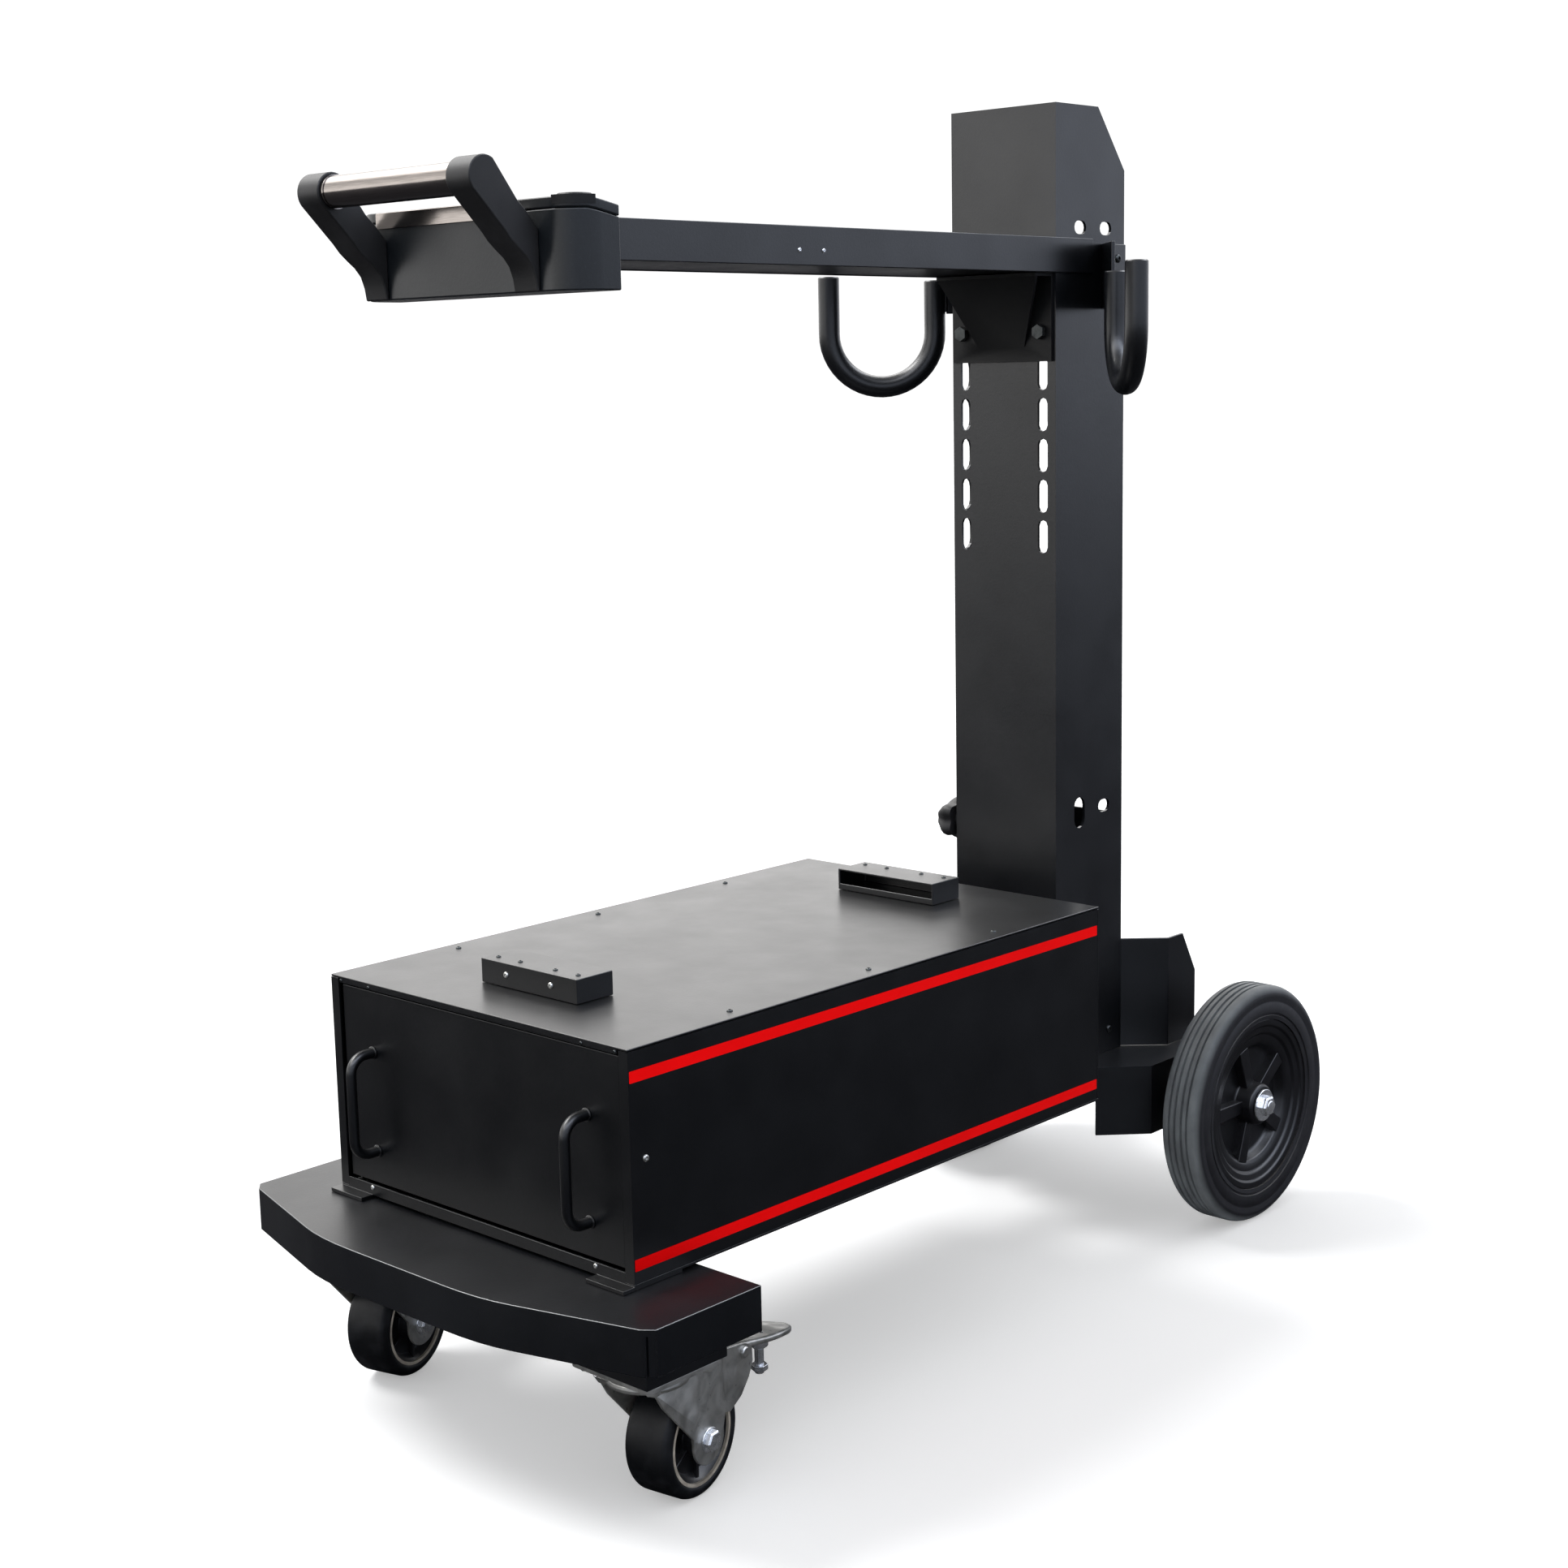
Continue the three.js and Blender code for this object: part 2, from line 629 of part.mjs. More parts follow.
// The bracket under the boom: a back plate on the mast, a top flange and a sloping web that narrows
// downwards between the two bolts.
function boomBracket() {
  const { half, bottom, depth, webBottom, webHalf } = BRACKET;
  const top = ARM.bottom - GAP;
  const back = [MAST.front - GAP - SHEET, MAST.front - GAP];
  const plate = block([-half, half], back, [bottom, top]);
  const flange = block([-half, half], [back[1] - depth, back[1]], [top - SHEET, top]);
  const front = back[1] - depth;
  const section = [
    [back[1] - 1, webBottom],
    [back[1] - 1, webBottom + SHEET * 1.1],
    [front + SHEET * 1.1, top - 0.5],
    [front, top - 0.5],
    [back[0], webBottom],
  ];
  const trims = SIDES.map(([, side]) => {
    const corner = [
      [webBottom - 1, side * webHalf],
      [webBottom, side * webHalf],
      [top - SHEET, side * half],
      [top - SHEET, side * (half + 1)],
      [webBottom - 1, side * (half + 1)],
    ];
    return prism("y", corner, front - 1, back[1]);
  });
  const web = cut(prism("x", section, -half, half), ...trims);
  const holes = SIDES.map(([, side]) =>
    rod("y", [side * SLOT.x, 0, BRACKET.boltZ], 4 + RUN_GAP, back[0] - 1, back[1] + 1),
  );
  return cut(join(plate, flange, web), ...holes);
}

// A bolt through the bracket and a mast slot, with its washer and nut inside the mast.
function boomBolt(side) {
  const centre = [side * SLOT.x, 0, BRACKET.boltZ];
  const face = MAST.front - GAP - SHEET - GAP;
  const inside = MAST.front + SHEET + GAP;
  return join(
    hexHead("y", centre, 7.5, face - 5.5, face),
    rod("y", centre, 4, face - 1, inside + 12, 16),
    rod("y", centre, 9, inside, inside + 2, 16),
    hexHead("y", centre, 7.5, inside + 1.5, inside + 8),
  );
}

// The head's plan: a bar with large round front corners, longer on the right.
function headPlan(inset) {
  const { left, right, front, rear, corner } = HEAD;
  const r = corner - inset;
  const shape = new THREE.Shape();
  shape.moveTo(right - inset, rear - inset);
  shape.lineTo(left + inset, rear - inset);
  shape.lineTo(left + inset, front + corner);
  shape.absarc(left + corner, front + corner, r, Math.PI, 1.5 * Math.PI, false);
  shape.absarc(right - corner, front + corner, r, 1.5 * Math.PI, 2 * Math.PI, false);
  return shape;
}

// Everything above (or below) a level that falls towards the back of the head.
function beyondSlope(level, far) {
  const { slopeY, drop } = SHELL;
  const section = [
    [HEAD.front - 1, far],
    [HEAD.front - 1, level],
    [slopeY, level],
    [HEAD.rear, level - drop],
    [HEAD.rear + 1, level - drop],
    [HEAD.rear + 1, far],
  ];
  return prism("x", section, HEAD.left - 1, HEAD.right + 1);
}

// The head: a shell open at the top, whose rim falls towards the back.
function headHousing() {
  const { bottom, lid } = SHELL;
  const outer = prism("z", headPlan(0), bottom, lid);
  const inner = prism("z", headPlan(SHEET), bottom + SHEET, lid + 1);
  return cut(outer, inner, beyondSlope(lid - GAP, lid + 2));
}

function headLid() {
  const { bottom, lid, top } = SHELL;
  const inner = cut(prism("z", headPlan(SHEET), bottom, top), beyondSlope(top - SHEET, top + 2));
  const outer = prism("z", headPlan(0), bottom, top);
  return cut(outer, inner, beyondSlope(top, top + 3), beyondSlope(lid, bottom - 1));
}

// The round plug on the lid.
function headPlug() {
  const { x, y, r, height } = PLUG;
  const z = SHELL.top + GAP;
  const profile = [
    [0, z],
    [r, z],
    [r, z + height - 1.5],
    [r - 1.5, z + height],
    [0, z + height],
  ];
  return turned("z", [x, y, 0], profile, 20);
}

// A handle cheek: a thick arm that leans forwards and up from the head's front face to a round eye.
function handleCheek(side) {
  const face = HEAD.front - GAP;
  const { x, y, z, eye, cheekInner, cheekOuter } = GRIP;
  const stations = span(side, cheekInner, cheekOuter).map((station) => x + station);
  const shape = new THREE.Shape();
  shape.moveTo(face, SHELL.bottom);
  shape.lineTo(face - 2.5, SHELL.bottom);
  shape.quadraticCurveTo(face - 5, 970, face - 13, 977);
  shape.lineTo(face - 27, 989);
  shape.lineTo(y - eye * 0.78, z - eye * 0.62);
  shape.absarc(y, z, eye, Math.PI * 1.215, Math.PI * 0.21, true);
  shape.lineTo(face - 8, 1015);
  shape.quadraticCurveTo(face, 1006, face, 1000);
  return prism("x", shape, ...stations, 6);
}

function handleBar() {
  const reach = GRIP.cheekInner - GAP;
  return rod("x", [0, GRIP.y, GRIP.z], GRIP.r, GRIP.x - reach, GRIP.x + reach, 24);
}

// ---------- hooks ----------

// The direction in which a hook stands away from the mast: outwards and forwards at 45 degrees.
const outward = (side) => new THREE.Vector3(side, -1, 0).normalize();

// A U of bar whose inner leg is welded to its bracket and whose outer leg ends open.
function uHook(side) {
  const { innerX, innerY, spread, innerTop, outerTop, bottom } = HOOK;
  const r = spread / 2;
  const middle = bottom + r;
  const inner = new THREE.Vector3(side * innerX, innerY, 0);
  const at = (along, z) => inner.clone().addScaledVector(outward(side), along).setZ(z);
  const handle = (4 / 3) * (Math.SQRT2 - 1) * r;
  const path = new THREE.CurvePath();
  path.add(new THREE.LineCurve3(at(0, innerTop), at(0, middle)));
  path.add(
    new THREE.CubicBezierCurve3(at(0, middle), at(0, middle - handle), at(r - handle, bottom), at(r, bottom)),
  );
  path.add(
    new THREE.CubicBezierCurve3(
      at(r, bottom),
      at(r + handle, bottom),
      at(spread, middle - handle),
      at(spread, middle),
    ),
  );
  path.add(new THREE.LineCurve3(at(spread, middle), at(spread, outerTop)));
  return bentBar(path, HOOK.r, 10, 22);
}

// The plate that joins a hook to the side of the mast: a flange on the mast and a 45 degree web.
function hookBracket(side) {
  const { sheet: t, low, high } = HOOK_PLATE;
  const x = MAST.half + GAP + t / 2;
  const reach = HOOK.innerX - x;
  const end = reach - (HOOK.r + 0.5) / Math.SQRT2;
  const bendY = HOOK.innerY + reach;
  const plan = foldedSheet(
    [
      [side * x, MAST.rear - 3],
      [side * x, bendY],
      [side * (x + end), bendY - end],
    ],
    t,
  );
  return prism("z", plan, low, high);
}

// ---------- wheels ----------

function wheelTyre(side) {
  const { r, rim, y, inner, outer } = REAR_WHEEL;
  const profile = [
    [rim, inner + 2],
    [r - 14, inner],
    [r - 5, inner + 2],
    [r, inner + 10],
    [r, outer - 10],
    [r - 5, outer - 2],
    [r - 14, outer],
    [rim, outer - 2],
  ];
  const placed = profile.map(([radius, x]) => [radius, side * x]);
  return turned("x", [0, y, r], closed(placed), 36);
}

function wheelHub(side) {
  const { r, rim, bore, y, inner, outer } = REAR_WHEEL;
  const seat = rim - GAP;
  const profile = [
    [bore, inner],
    [22, inner],
    [24, inner + 15],
    [72, inner + 15],
    [78, inner + 4],
    [seat, inner + 4],
    [seat, outer - 4],
    [78, outer - 4],
    [72, outer - 15],
    [24, outer - 15],
    [22, outer],
    [bore, outer],
  ];
  const placed = profile.map(([radius, x]) => [radius, side * x]);
  const disc = turned("x", [0, y, r], closed(placed), 36);
  const ribs = [];
  for (let i = 0; i < 5; i++) {
    const turn = (2 * Math.PI * (i + 0.25)) / 5;
    const rib = new THREE.BoxGeometry(32, 54, 9).translate(0, 48, 0).rotateX(turn);
    ribs.push(solid(rib.translate((side * (inner + outer)) / 2, y, r)));
  }
  return join(disc, ...ribs);
}

// ---------- casters, each in its own frame: the swivel axis is Z, the wheel trails towards +Y ----------

// The top plate with its bolts, the upper race and the king pin that holds the fork.
function casterPlate() {
  const top = CASTER.plateTop;
  const plate = block([-45, 45], [-42, 42], [top - 4, top]);
  const race = rod("z", [0, 0, 0], 30, FORK.crownTop + GAP, top - 3.5, 24);
  const pin = rod("z", [0, 0, 0], 6, 103, top - 3.5);
  const nut = hexHead("z", [0, 0, 0], 10, 103, FORK.crownBottom - GAP);
  const bolts = [];
  for (const [, side] of SIDES)
    for (const y of [-30, 30])
      bolts.push(hexHead("z", [side * 37, y, 0], 6.5, top - 8.5, top - 3.5));
  return join(plate, race, pin, nut, ...bolts);
}

// One leg's outline in (trail, height): it narrows from the crown to the axle
// and widens behind it for the brake.
function forkLegShape() {
  const { trail, r } = CASTER;
  const shape = new THREE.Shape();
  shape.moveTo(-32, 118);
  shape.lineTo(-24, 108);
  shape.lineTo(trail - 17, r + 6);
  shape.absarc(trail, r, 17.5, Math.PI * 0.9, Math.PI * 2.1, false);
  shape.quadraticCurveTo(trail + 26, 72, trail + 48, 84);
  shape.lineTo(trail + 62, 98);
  shape.lineTo(trail + 62, 112);
  shape.lineTo(trail + 30, 118);
  return shape;
}

function casterFork() {
  const { inner, outer, crownR, crownTop, crownBottom } = FORK;
  const crown = rod("z", [0, 0, 0], crownR, crownBottom, crownTop, 24);
  const bridge = block([-outer, outer], [-30, 70], [114, 118]);
  const legs = SIDES.map(([, side]) => prism("x", forkLegShape(), ...span(side, inner, outer)));
  const pinHole = rod("z", [0, 0, 0], 6 + RUN_GAP, 100, 130);
  const across = [-outer - 2, outer + 2];
  const axleHole = rod("x", [0, CASTER.trail, CASTER.r], 5 + RUN_GAP, ...across);
  const pivotHole = rod("x", [0, PEDAL.pivotV, PEDAL.pivotZ], 3 + RUN_GAP, ...across);
  return cut(join(crown, bridge, ...legs), pinHole, axleHole, pivotHole);
}

function casterAxle() {
  const centre = [0, CASTER.trail, CASTER.r];
  return join(
    rod("x", centre, 5, -FORK.outer - 6, FORK.outer + 4),
    hexHead("x", centre, 9, FORK.outer + GAP, FORK.outer + 7),
    hexHead("x", centre, 8.5, -FORK.outer - 6, -FORK.outer - GAP),
  );
}

function casterTread() {
  const { r, half, trail } = CASTER;
  const profile = [
    [38, 1.5 - half],
    [r - 4, -half],
    [r, 8.5 - half],
    [r, half - 8.5],
    [r - 4, half],
    [38, half - 1.5],
  ];
  return turned("x", [0, trail, r], closed(profile));
}

function casterHub() {
  const { r, half, trail } = CASTER;
  const boss = FORK.inner - 1;
  const web = half - 7;
  const profile = [
    [5 + RUN_GAP, -boss],
    [14, -boss],
    [16, -web],
    [33, -web],
    [37.7, 1.5 - half],
    [37.7, half - 1.5],
    [33, web],
    [16, web],
    [14, boss],
    [5 + RUN_GAP, boss],
  ];
  return turned("x", [0, trail, r], closed(profile));
}

// The brake pedal: a tread behind the fork, its pivot pin, the shoe over the wheel and the adjusting screw.
function brakePedal() {
  const { pivotV, pivotZ, half, tip } = PEDAL;
  const line = [
    [pivotV - 8, pivotZ + 4],
    [pivotV + 16, pivotZ + 1],
    [pivotV + 54, pivotZ - 7],
    [tip, pivotZ - 17],
  ];
  const tread = prism("x", foldedSheet(line, SHEET), -half, half);
  const pin = rod("x", [0, pivotV, pivotZ], 3, -FORK.outer - 3, FORK.outer + 3, 16);
  const boss = rod("x", [0, pivotV, pivotZ], 7, -half, half, 20);
  const shoe = block([-12, 12], [pivotV - 8, pivotV + 2], [pivotZ - 25, pivotZ + 2]);
  const screw = rod("z", [0, pivotV + 32, 0], 4, 68, pivotZ - 2, 12);
  const lockNut = hexHead("z", [0, pivotV + 32, 0], 7.5, 82, 90);
  return join(tread, pin, boss, shoe, screw, lockNut);
}

function addCaster(name, side, yawDegrees) {
  const caster = new THREE.Group();
  caster.position.set(side * CASTER.x, CASTER.y, 0);
  caster.rotation.z = THREE.MathUtils.degToRad(yawDegrees);
  cart.add(caster);
  add(caster, `caster_fork_${name}`, casterFork(), zinc);
  add(caster, `caster_axle_${name}`, casterAxle(), chrome);
  add(caster, `caster_tread_${name}`, casterTread(), rubber);
  add(caster, `caster_hub_${name}`, casterHub(), plastic);
  add(caster, `brake_pedal_${name}`, brakePedal(), zinc);
  const fixed = new THREE.Group();
  fixed.position.copy(caster.position);
  cart.add(fixed);
  add(fixed, `caster_plate_${name}`, casterPlate(), zinc);
}

// ---------- the assembly ----------

add(cart, "deck_tray", deckTray(), blackPaint);
add(cart, "caster_beam", casterBeam(), blackPaint);
add(cart, "rear_cross_member", rearCrossMember(), blackPaint);
add(cart, "axle_housing", axleHousing(), blackPaint);
add(cart, "rear_axle", rearAxle(), zinc);
add(cart, "mast", mast(), blackPaint);
add(cart, "mast_foot", mastFoot(), zinc);
add(cart, "mast_knob", mastKnob(), plastic);
add(cart, "cabinet_bottom", cabinetBottom(), cabinetPaint);
add(cart, "cabinet_top", cabinetTop(), cabinetPaint);
add(cart, "cabinet_rear", cabinetRear(), cabinetPaint);
add(cart, "saddle_front", saddle(SADDLE.frontY + 20, 1), cabinetPaint);
add(cart, "saddle_rear", saddle(SADDLE.rearY - 20, -1), cabinetPaint);
add(cart, "drawer_tray", drawerTray(), zinc);
add(cart, "drawer_front", drawerFront(), cabinetPaint);
add(cart, "boom", boom(), blackPaint);
add(cart, "boom_cover", boomCover(), blackPaint);
add(cart, "boom_bracket", boomBracket(), blackPaint);
add(cart, "head_housing", headHousing(), blackPaint);
add(cart, "head_lid", headLid(), blackPaint);
add(cart, "head_plug", headPlug(), plastic);
add(cart, "handle_bar", handleBar(), stainless);

for (const [name, side] of SIDES) {
  add(cart, `chassis_rail_${name}`, chassisRail(side), blackPaint);
  add(cart, `cradle_${name}`, bottleCradle(side), blackPaint);
  add(cart, `axle_bolt_${name}`, axleBolt(side), chrome);
  add(cart, `wheel_tyre_${name}`, wheelTyre(side), rubber);
  add(cart, `wheel_hub_${name}`, wheelHub(side), plastic);
  add(cart, `cabinet_side_${name}`, cabinetSide(side), cabinetPaint);
  add(cart, `slide_outer_${name}`, slideOuter(side), zinc);
  add(cart, `slide_inner_${name}`, slideInner(side), zinc);
  add(cart, `drawer_pull_${name}`, drawerPull(side), blackPaint);
  add(cart, `boom_bolt_${name}`, boomBolt(side), zinc);
  add(cart, `handle_cheek_${name}`, handleCheek(side), plastic);
  add(cart, `hook_bracket_${name}`, hookBracket(side), blackPaint);
  add(cart, `hook_${name}`, uHook(side), blackPaint);
}
addCaster("R", 1, CASTER.yawRight);
addCaster("L", -1, CASTER.yawLeft);

export default cart;
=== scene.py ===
"""A wheeled equipment cart on a pale studio floor: detailed pieces and materials on its CAD model."""
import json
import math

import bmesh
import bpy
from mathutils import Matrix, Vector


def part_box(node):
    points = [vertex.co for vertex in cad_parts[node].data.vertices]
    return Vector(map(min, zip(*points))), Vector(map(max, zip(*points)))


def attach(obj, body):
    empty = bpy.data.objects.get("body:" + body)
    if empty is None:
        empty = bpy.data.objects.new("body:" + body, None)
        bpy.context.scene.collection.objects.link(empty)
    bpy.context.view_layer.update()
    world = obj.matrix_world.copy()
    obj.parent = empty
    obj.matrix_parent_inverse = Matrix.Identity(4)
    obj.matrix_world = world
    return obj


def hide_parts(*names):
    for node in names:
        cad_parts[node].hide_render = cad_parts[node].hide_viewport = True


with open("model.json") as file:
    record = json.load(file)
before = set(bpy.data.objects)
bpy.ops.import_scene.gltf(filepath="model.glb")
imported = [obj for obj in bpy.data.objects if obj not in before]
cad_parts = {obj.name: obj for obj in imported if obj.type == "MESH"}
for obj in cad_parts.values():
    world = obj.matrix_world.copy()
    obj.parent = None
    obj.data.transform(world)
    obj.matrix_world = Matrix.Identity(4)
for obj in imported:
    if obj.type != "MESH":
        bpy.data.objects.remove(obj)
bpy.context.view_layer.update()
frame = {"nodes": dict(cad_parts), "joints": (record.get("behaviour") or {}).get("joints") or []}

MM = 0.001
SIDES = {"R": 1, "L": -1}
UP, DOWN, FORWARD = (0, 0, 1), (0, 0, -1), (0, -1, 0)
JOINTS = {joint["name"]: joint for joint in frame["joints"]}

# The radius that each kind of CAD piece's edges are rounded to, in millimetres.
EDGES = {
    "frame": 0.9,
    "cabinet": 0.7,
    "zinc": 0.4,
    "boom_bolt": 0.4,
    "boom_bracket": 0.6,
    "deck_tray": 3.6,
    "head_housing": 1.3,
    "head_lid": 2.2,
}


# ---------- places taken from the frame, in millimetres ----------


def corners(node):
    """The lowest and the highest corner of a CAD node."""
    low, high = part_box(node)
    return low / MM, high / MM


def middle(node):
    """The centre of a CAD node's box."""
    low, high = corners(node)
    return (low + high) / 2


def joint_place(name):
    """Where a joint's axis or hinge is."""
    return Vector(JOINTS[name]["pos_m"]) / MM


def sided(sign, near, far):
    """The lower and the higher of two distances out from the middle, on one side."""
    return sorted((sign * near, sign * far))


WHEEL_CENTRE = middle("wheel_tyre_R")
WHEEL_RADIUS = corners("wheel_tyre_R")[1].z - WHEEL_CENTRE.z


# ---------- shapes, as vertices in millimetres and faces ----------


class Form:
    """Vertices and faces gathered for one piece."""

    def __init__(self):
        """Starts empty."""
        self.verts = []
        self.faces = []

    def add(self, shape, place=Matrix.Identity(4)):
        """Adds a shape, moved to its place."""
        verts, faces = shape
        start = len(self.verts)
        self.verts += [place @ Vector(v) for v in verts]
        self.faces += [[start + i for i in face] for face in faces]
        return self


def arc(a, b, r, start, end, steps=12):
    """Points on an arc about (a, b), with the angles in degrees."""
    angles = [math.radians(start + (end - start) * i / steps) for i in range(steps + 1)]
    return [(a + r * math.cos(t), b + r * math.sin(t)) for t in angles]


def rounded(a0, a1, b0, b1, r, steps=6):
    """A rectangle with round corners."""
    return (
        arc(a1 - r, b1 - r, r, 0, 90, steps)
        + arc(a0 + r, b1 - r, r, 90, 180, steps)
        + arc(a0 + r, b0 + r, r, 180, 270, steps)
        + arc(a1 - r, b0 + r, r, 270, 360, steps)
    )


def revolved(profile, segments):
    """A profile of (radius, x) points turned about X; it ends on the axis or closes on itself."""
    count = len(profile)
    verts = []
    for i in range(segments):
        t = 2 * math.pi * i / segments
        verts += [(x, r * math.cos(t), r * math.sin(t)) for r, x in profile]
    loop = profile[0][0] > 0
    faces = []
    for i in range(segments):
        here, there = i * count, (i + 1) % segments * count
        for k in range(count if loop else count - 1):
            m = (k + 1) % count
            faces.append((here + k, here + m, there + m, there + k))
    return verts, faces


def stacked(rings, count):
    """The faces of a tube through rings of as many points each, closed at both ends."""
    faces = []
    for i in range(rings - 1):
        for k in range(count):
            m = (k + 1) % count
            faces.append((i * count + k, i * count + m, (i + 1) * count + m, (i + 1) * count + k))
    end = (rings - 1) * count
    return faces + [range(count - 1, -1, -1), range(end, end + count)]


def slab(axis, outline, low, high):
    """An outline pushed along an axis: (y, z) along x, (x, z) along y and (x, y) along z."""
    put = {
        "x": lambda a, b, s: (s, a, b),
        "y": lambda a, b, s: (a, s, b),
        "z": lambda a, b, s: (a, b, s),
    }[axis]
    count = len(outline)
    verts = [put(a, b, s) for s in (low, high) for a, b in outline]
    faces = [range(count), range(2 * count - 1, count - 1, -1)]
    faces += [(i, (i + 1) % count, count + (i + 1) % count, count + i) for i in range(count)]
    return verts, faces


def bar(path, radius, sides=24, taper=0.6):
    """A round bar along a path of points, with slightly chamfered ends."""
    points = [Vector(p) for p in path]
    first = (points[1] - points[0]).normalized()
    last = (points[-1] - points[-2]).normalized()
    stations = [(points[0], radius - taper), (points[0] + first * taper, radius)]
    stations += [(p, radius) for p in points[1:-1]]
    stations += [(points[-1] - last * taper, radius), (points[-1], radius - taper)]
    ahead = first
    across = ahead.orthogonal().normalized()
    verts = []
    for i, (centre, r) in enumerate(stations):
        step = stations[min(i + 1, len(stations) - 1)][0] - stations[max(i - 1, 0)][0]
        turn = ahead.rotation_difference(step.normalized())
        ahead, across = step.normalized(), turn @ across
        up = ahead.cross(across)
        for k in range(sides):
            t = 2 * math.pi * k / sides
            verts.append(centre + (across * math.cos(t) + up * math.sin(t)) * r)
    return verts, stacked(len(stations), sides)


def facing(position, normal):
    """Puts a shape that was made along +X at a position, with that axis along a normal."""
    turn = Vector(normal).to_track_quat("X", "Z").to_matrix().to_4x4()
    return Matrix.Translation(position) @ turn


def hex_head(r, height):
    """A hexagon head with a chamfered crown, along +X."""
    shoulder, crown = height * 0.78, r * 0.84
    return revolved([(0, 0), (r, 0), (r, shoulder), (crown, height), (0, height)], 6)


def washer(r, thickness):
    """A round plate with a chamfered rim, along +X."""
    return revolved([(0, 0), (r, 0), (r, thickness * 0.7), (r - 0.5, thickness), (0, thickness)], 32)


def add_bolt(form, seat, disc, head, sunk=0.2):
    """Adds a washer of (radius, thickness) on a seat and a hexagon head of (radius, height) on it."""
    form.add(washer(*disc), seat)
    form.add(hex_head(*head), seat @ Matrix.Translation((disc[1] - sunk, 0, 0)))


def add_spokes(form, place, outline, half, count, first=0):
    """Adds spokes as wide as the half width each way, spaced evenly about a wheel's axis."""
    for i in range(count):
        turn = Matrix.Rotation(math.radians(360 / count * i + first), 4, "X")
        form.add(slab("x", outline, -half, half), place @ turn)


def button_screw(r):
    """A domed screw head with its socket, along +X."""
    h = r * 0.55
    profile = [(0, h * 0.3), (r * 0.42, h * 0.3), (r * 0.45, h * 0.97), (r * 0.62, h)]
    profile += [(r * 0.85, h * 0.75), (r, h * 0.25), (r, 0), (0, 0)]
    return revolved(profile, 20)


# ---------- pieces ----------


def soften(obj, width):
    """Rounds the edges of an object and keeps its large faces flat."""
    bevel = obj.modifiers.new("edges", "BEVEL")
    bevel.width = width * MM
    bevel.segments = 3
    bevel.limit_method = "ANGLE"
    bevel.angle_limit = math.radians(28)
    normals = obj.modifiers.new("normals", "WEIGHTED_NORMAL")
    normals.weight = 100
    return bevel


def piece(name, form, body, material, replaces=(), edge=0.0, sharp=35):
    """Makes a mesh object of a form, which rides on a CAD body and may stand for CAD nodes."""
    mesh = bpy.data.meshes.new(name)
    mesh.from_pydata([v * MM for v in form.verts], [], form.faces)
    bm = bmesh.new()
    bm.from_mesh(mesh)
    bmesh.ops.remove_doubles(bm, verts=bm.verts, dist=1e-6)
    bmesh.ops.recalc_face_normals(bm, faces=bm.faces)
    bm.to_mesh(mesh)
    bm.free()
    mesh.polygons.foreach_set("use_smooth", [True] * len(mesh.polygons))
    mesh.set_sharp_from_angle(angle=math.radians(sharp))
    mesh.materials.append(material)
    obj = bpy.data.objects.new(name, mesh)
    bpy.context.scene.collection.objects.link(obj)
    if edge:
        soften(obj, edge)
    if replaces:
        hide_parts(*replaces)
    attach(obj, body)
    return obj


def dress(node, material, edge, highlight_edges=None):
    """Keeps a CAD node's shape, rounds its edges and gives it a material, and, if given, a coat with a
    painted highlight on those edges.
    """
    obj = frame["nodes"][node]
    for slot in obj.material_slots:
        slot.material = material
    weld = obj.modifiers.new("weld", "WELD")
    weld.merge_threshold = 0.01 * MM
    flat = obj.modifiers.new("flat", "DECIMATE")
    flat.decimate_type = "DISSOLVE"
    flat.angle_limit = math.radians(0.5)
    obj.data.polygons.foreach_set("use_smooth", [True] * len(obj.data.polygons))
    bevel = soften(obj, edge)
    if highlight_edges:
        obj.data.materials.append(highlight_edges)
        bevel.material = len(obj.data.materials) - 1


# ---------- materials ----------

DUST = (0.33, 0.32, 0.3)
PAINT, CLOUDY_PAINT = (0.0018, 0.0023, 0.0036), (0.0036, 0.0043, 0.006)
DEEP_PAINT, CLOUDY_DEEP_PAINT = (0.0008, 0.0012, 0.002), (0.0018, 0.0023, 0.0032)


def map_range(tree, value, low, high, to_low, to_high):
    """Maps a socket's value from low..high to another range, held at both ends."""
    node = tree.nodes.new("ShaderNodeMapRange")
    limits = {"From Min": low, "From Max": high, "To Min": to_low, "To Max": to_high}
    for name, number in limits.items():
        node.inputs[name].default_value = number
    tree.links.new(value, node.inputs["Value"])
    return node.outputs[0]


def calculated(tree, operation, *values):
    """One sum on sockets or plain numbers."""
    node = tree.nodes.new("ShaderNodeMath")
    node.operation = operation
    for socket, value in zip(node.inputs, values):
        if isinstance(value, (int, float)):
            socket.default_value = value
        else:
            tree.links.new(value, socket)
    return node.outputs[0]


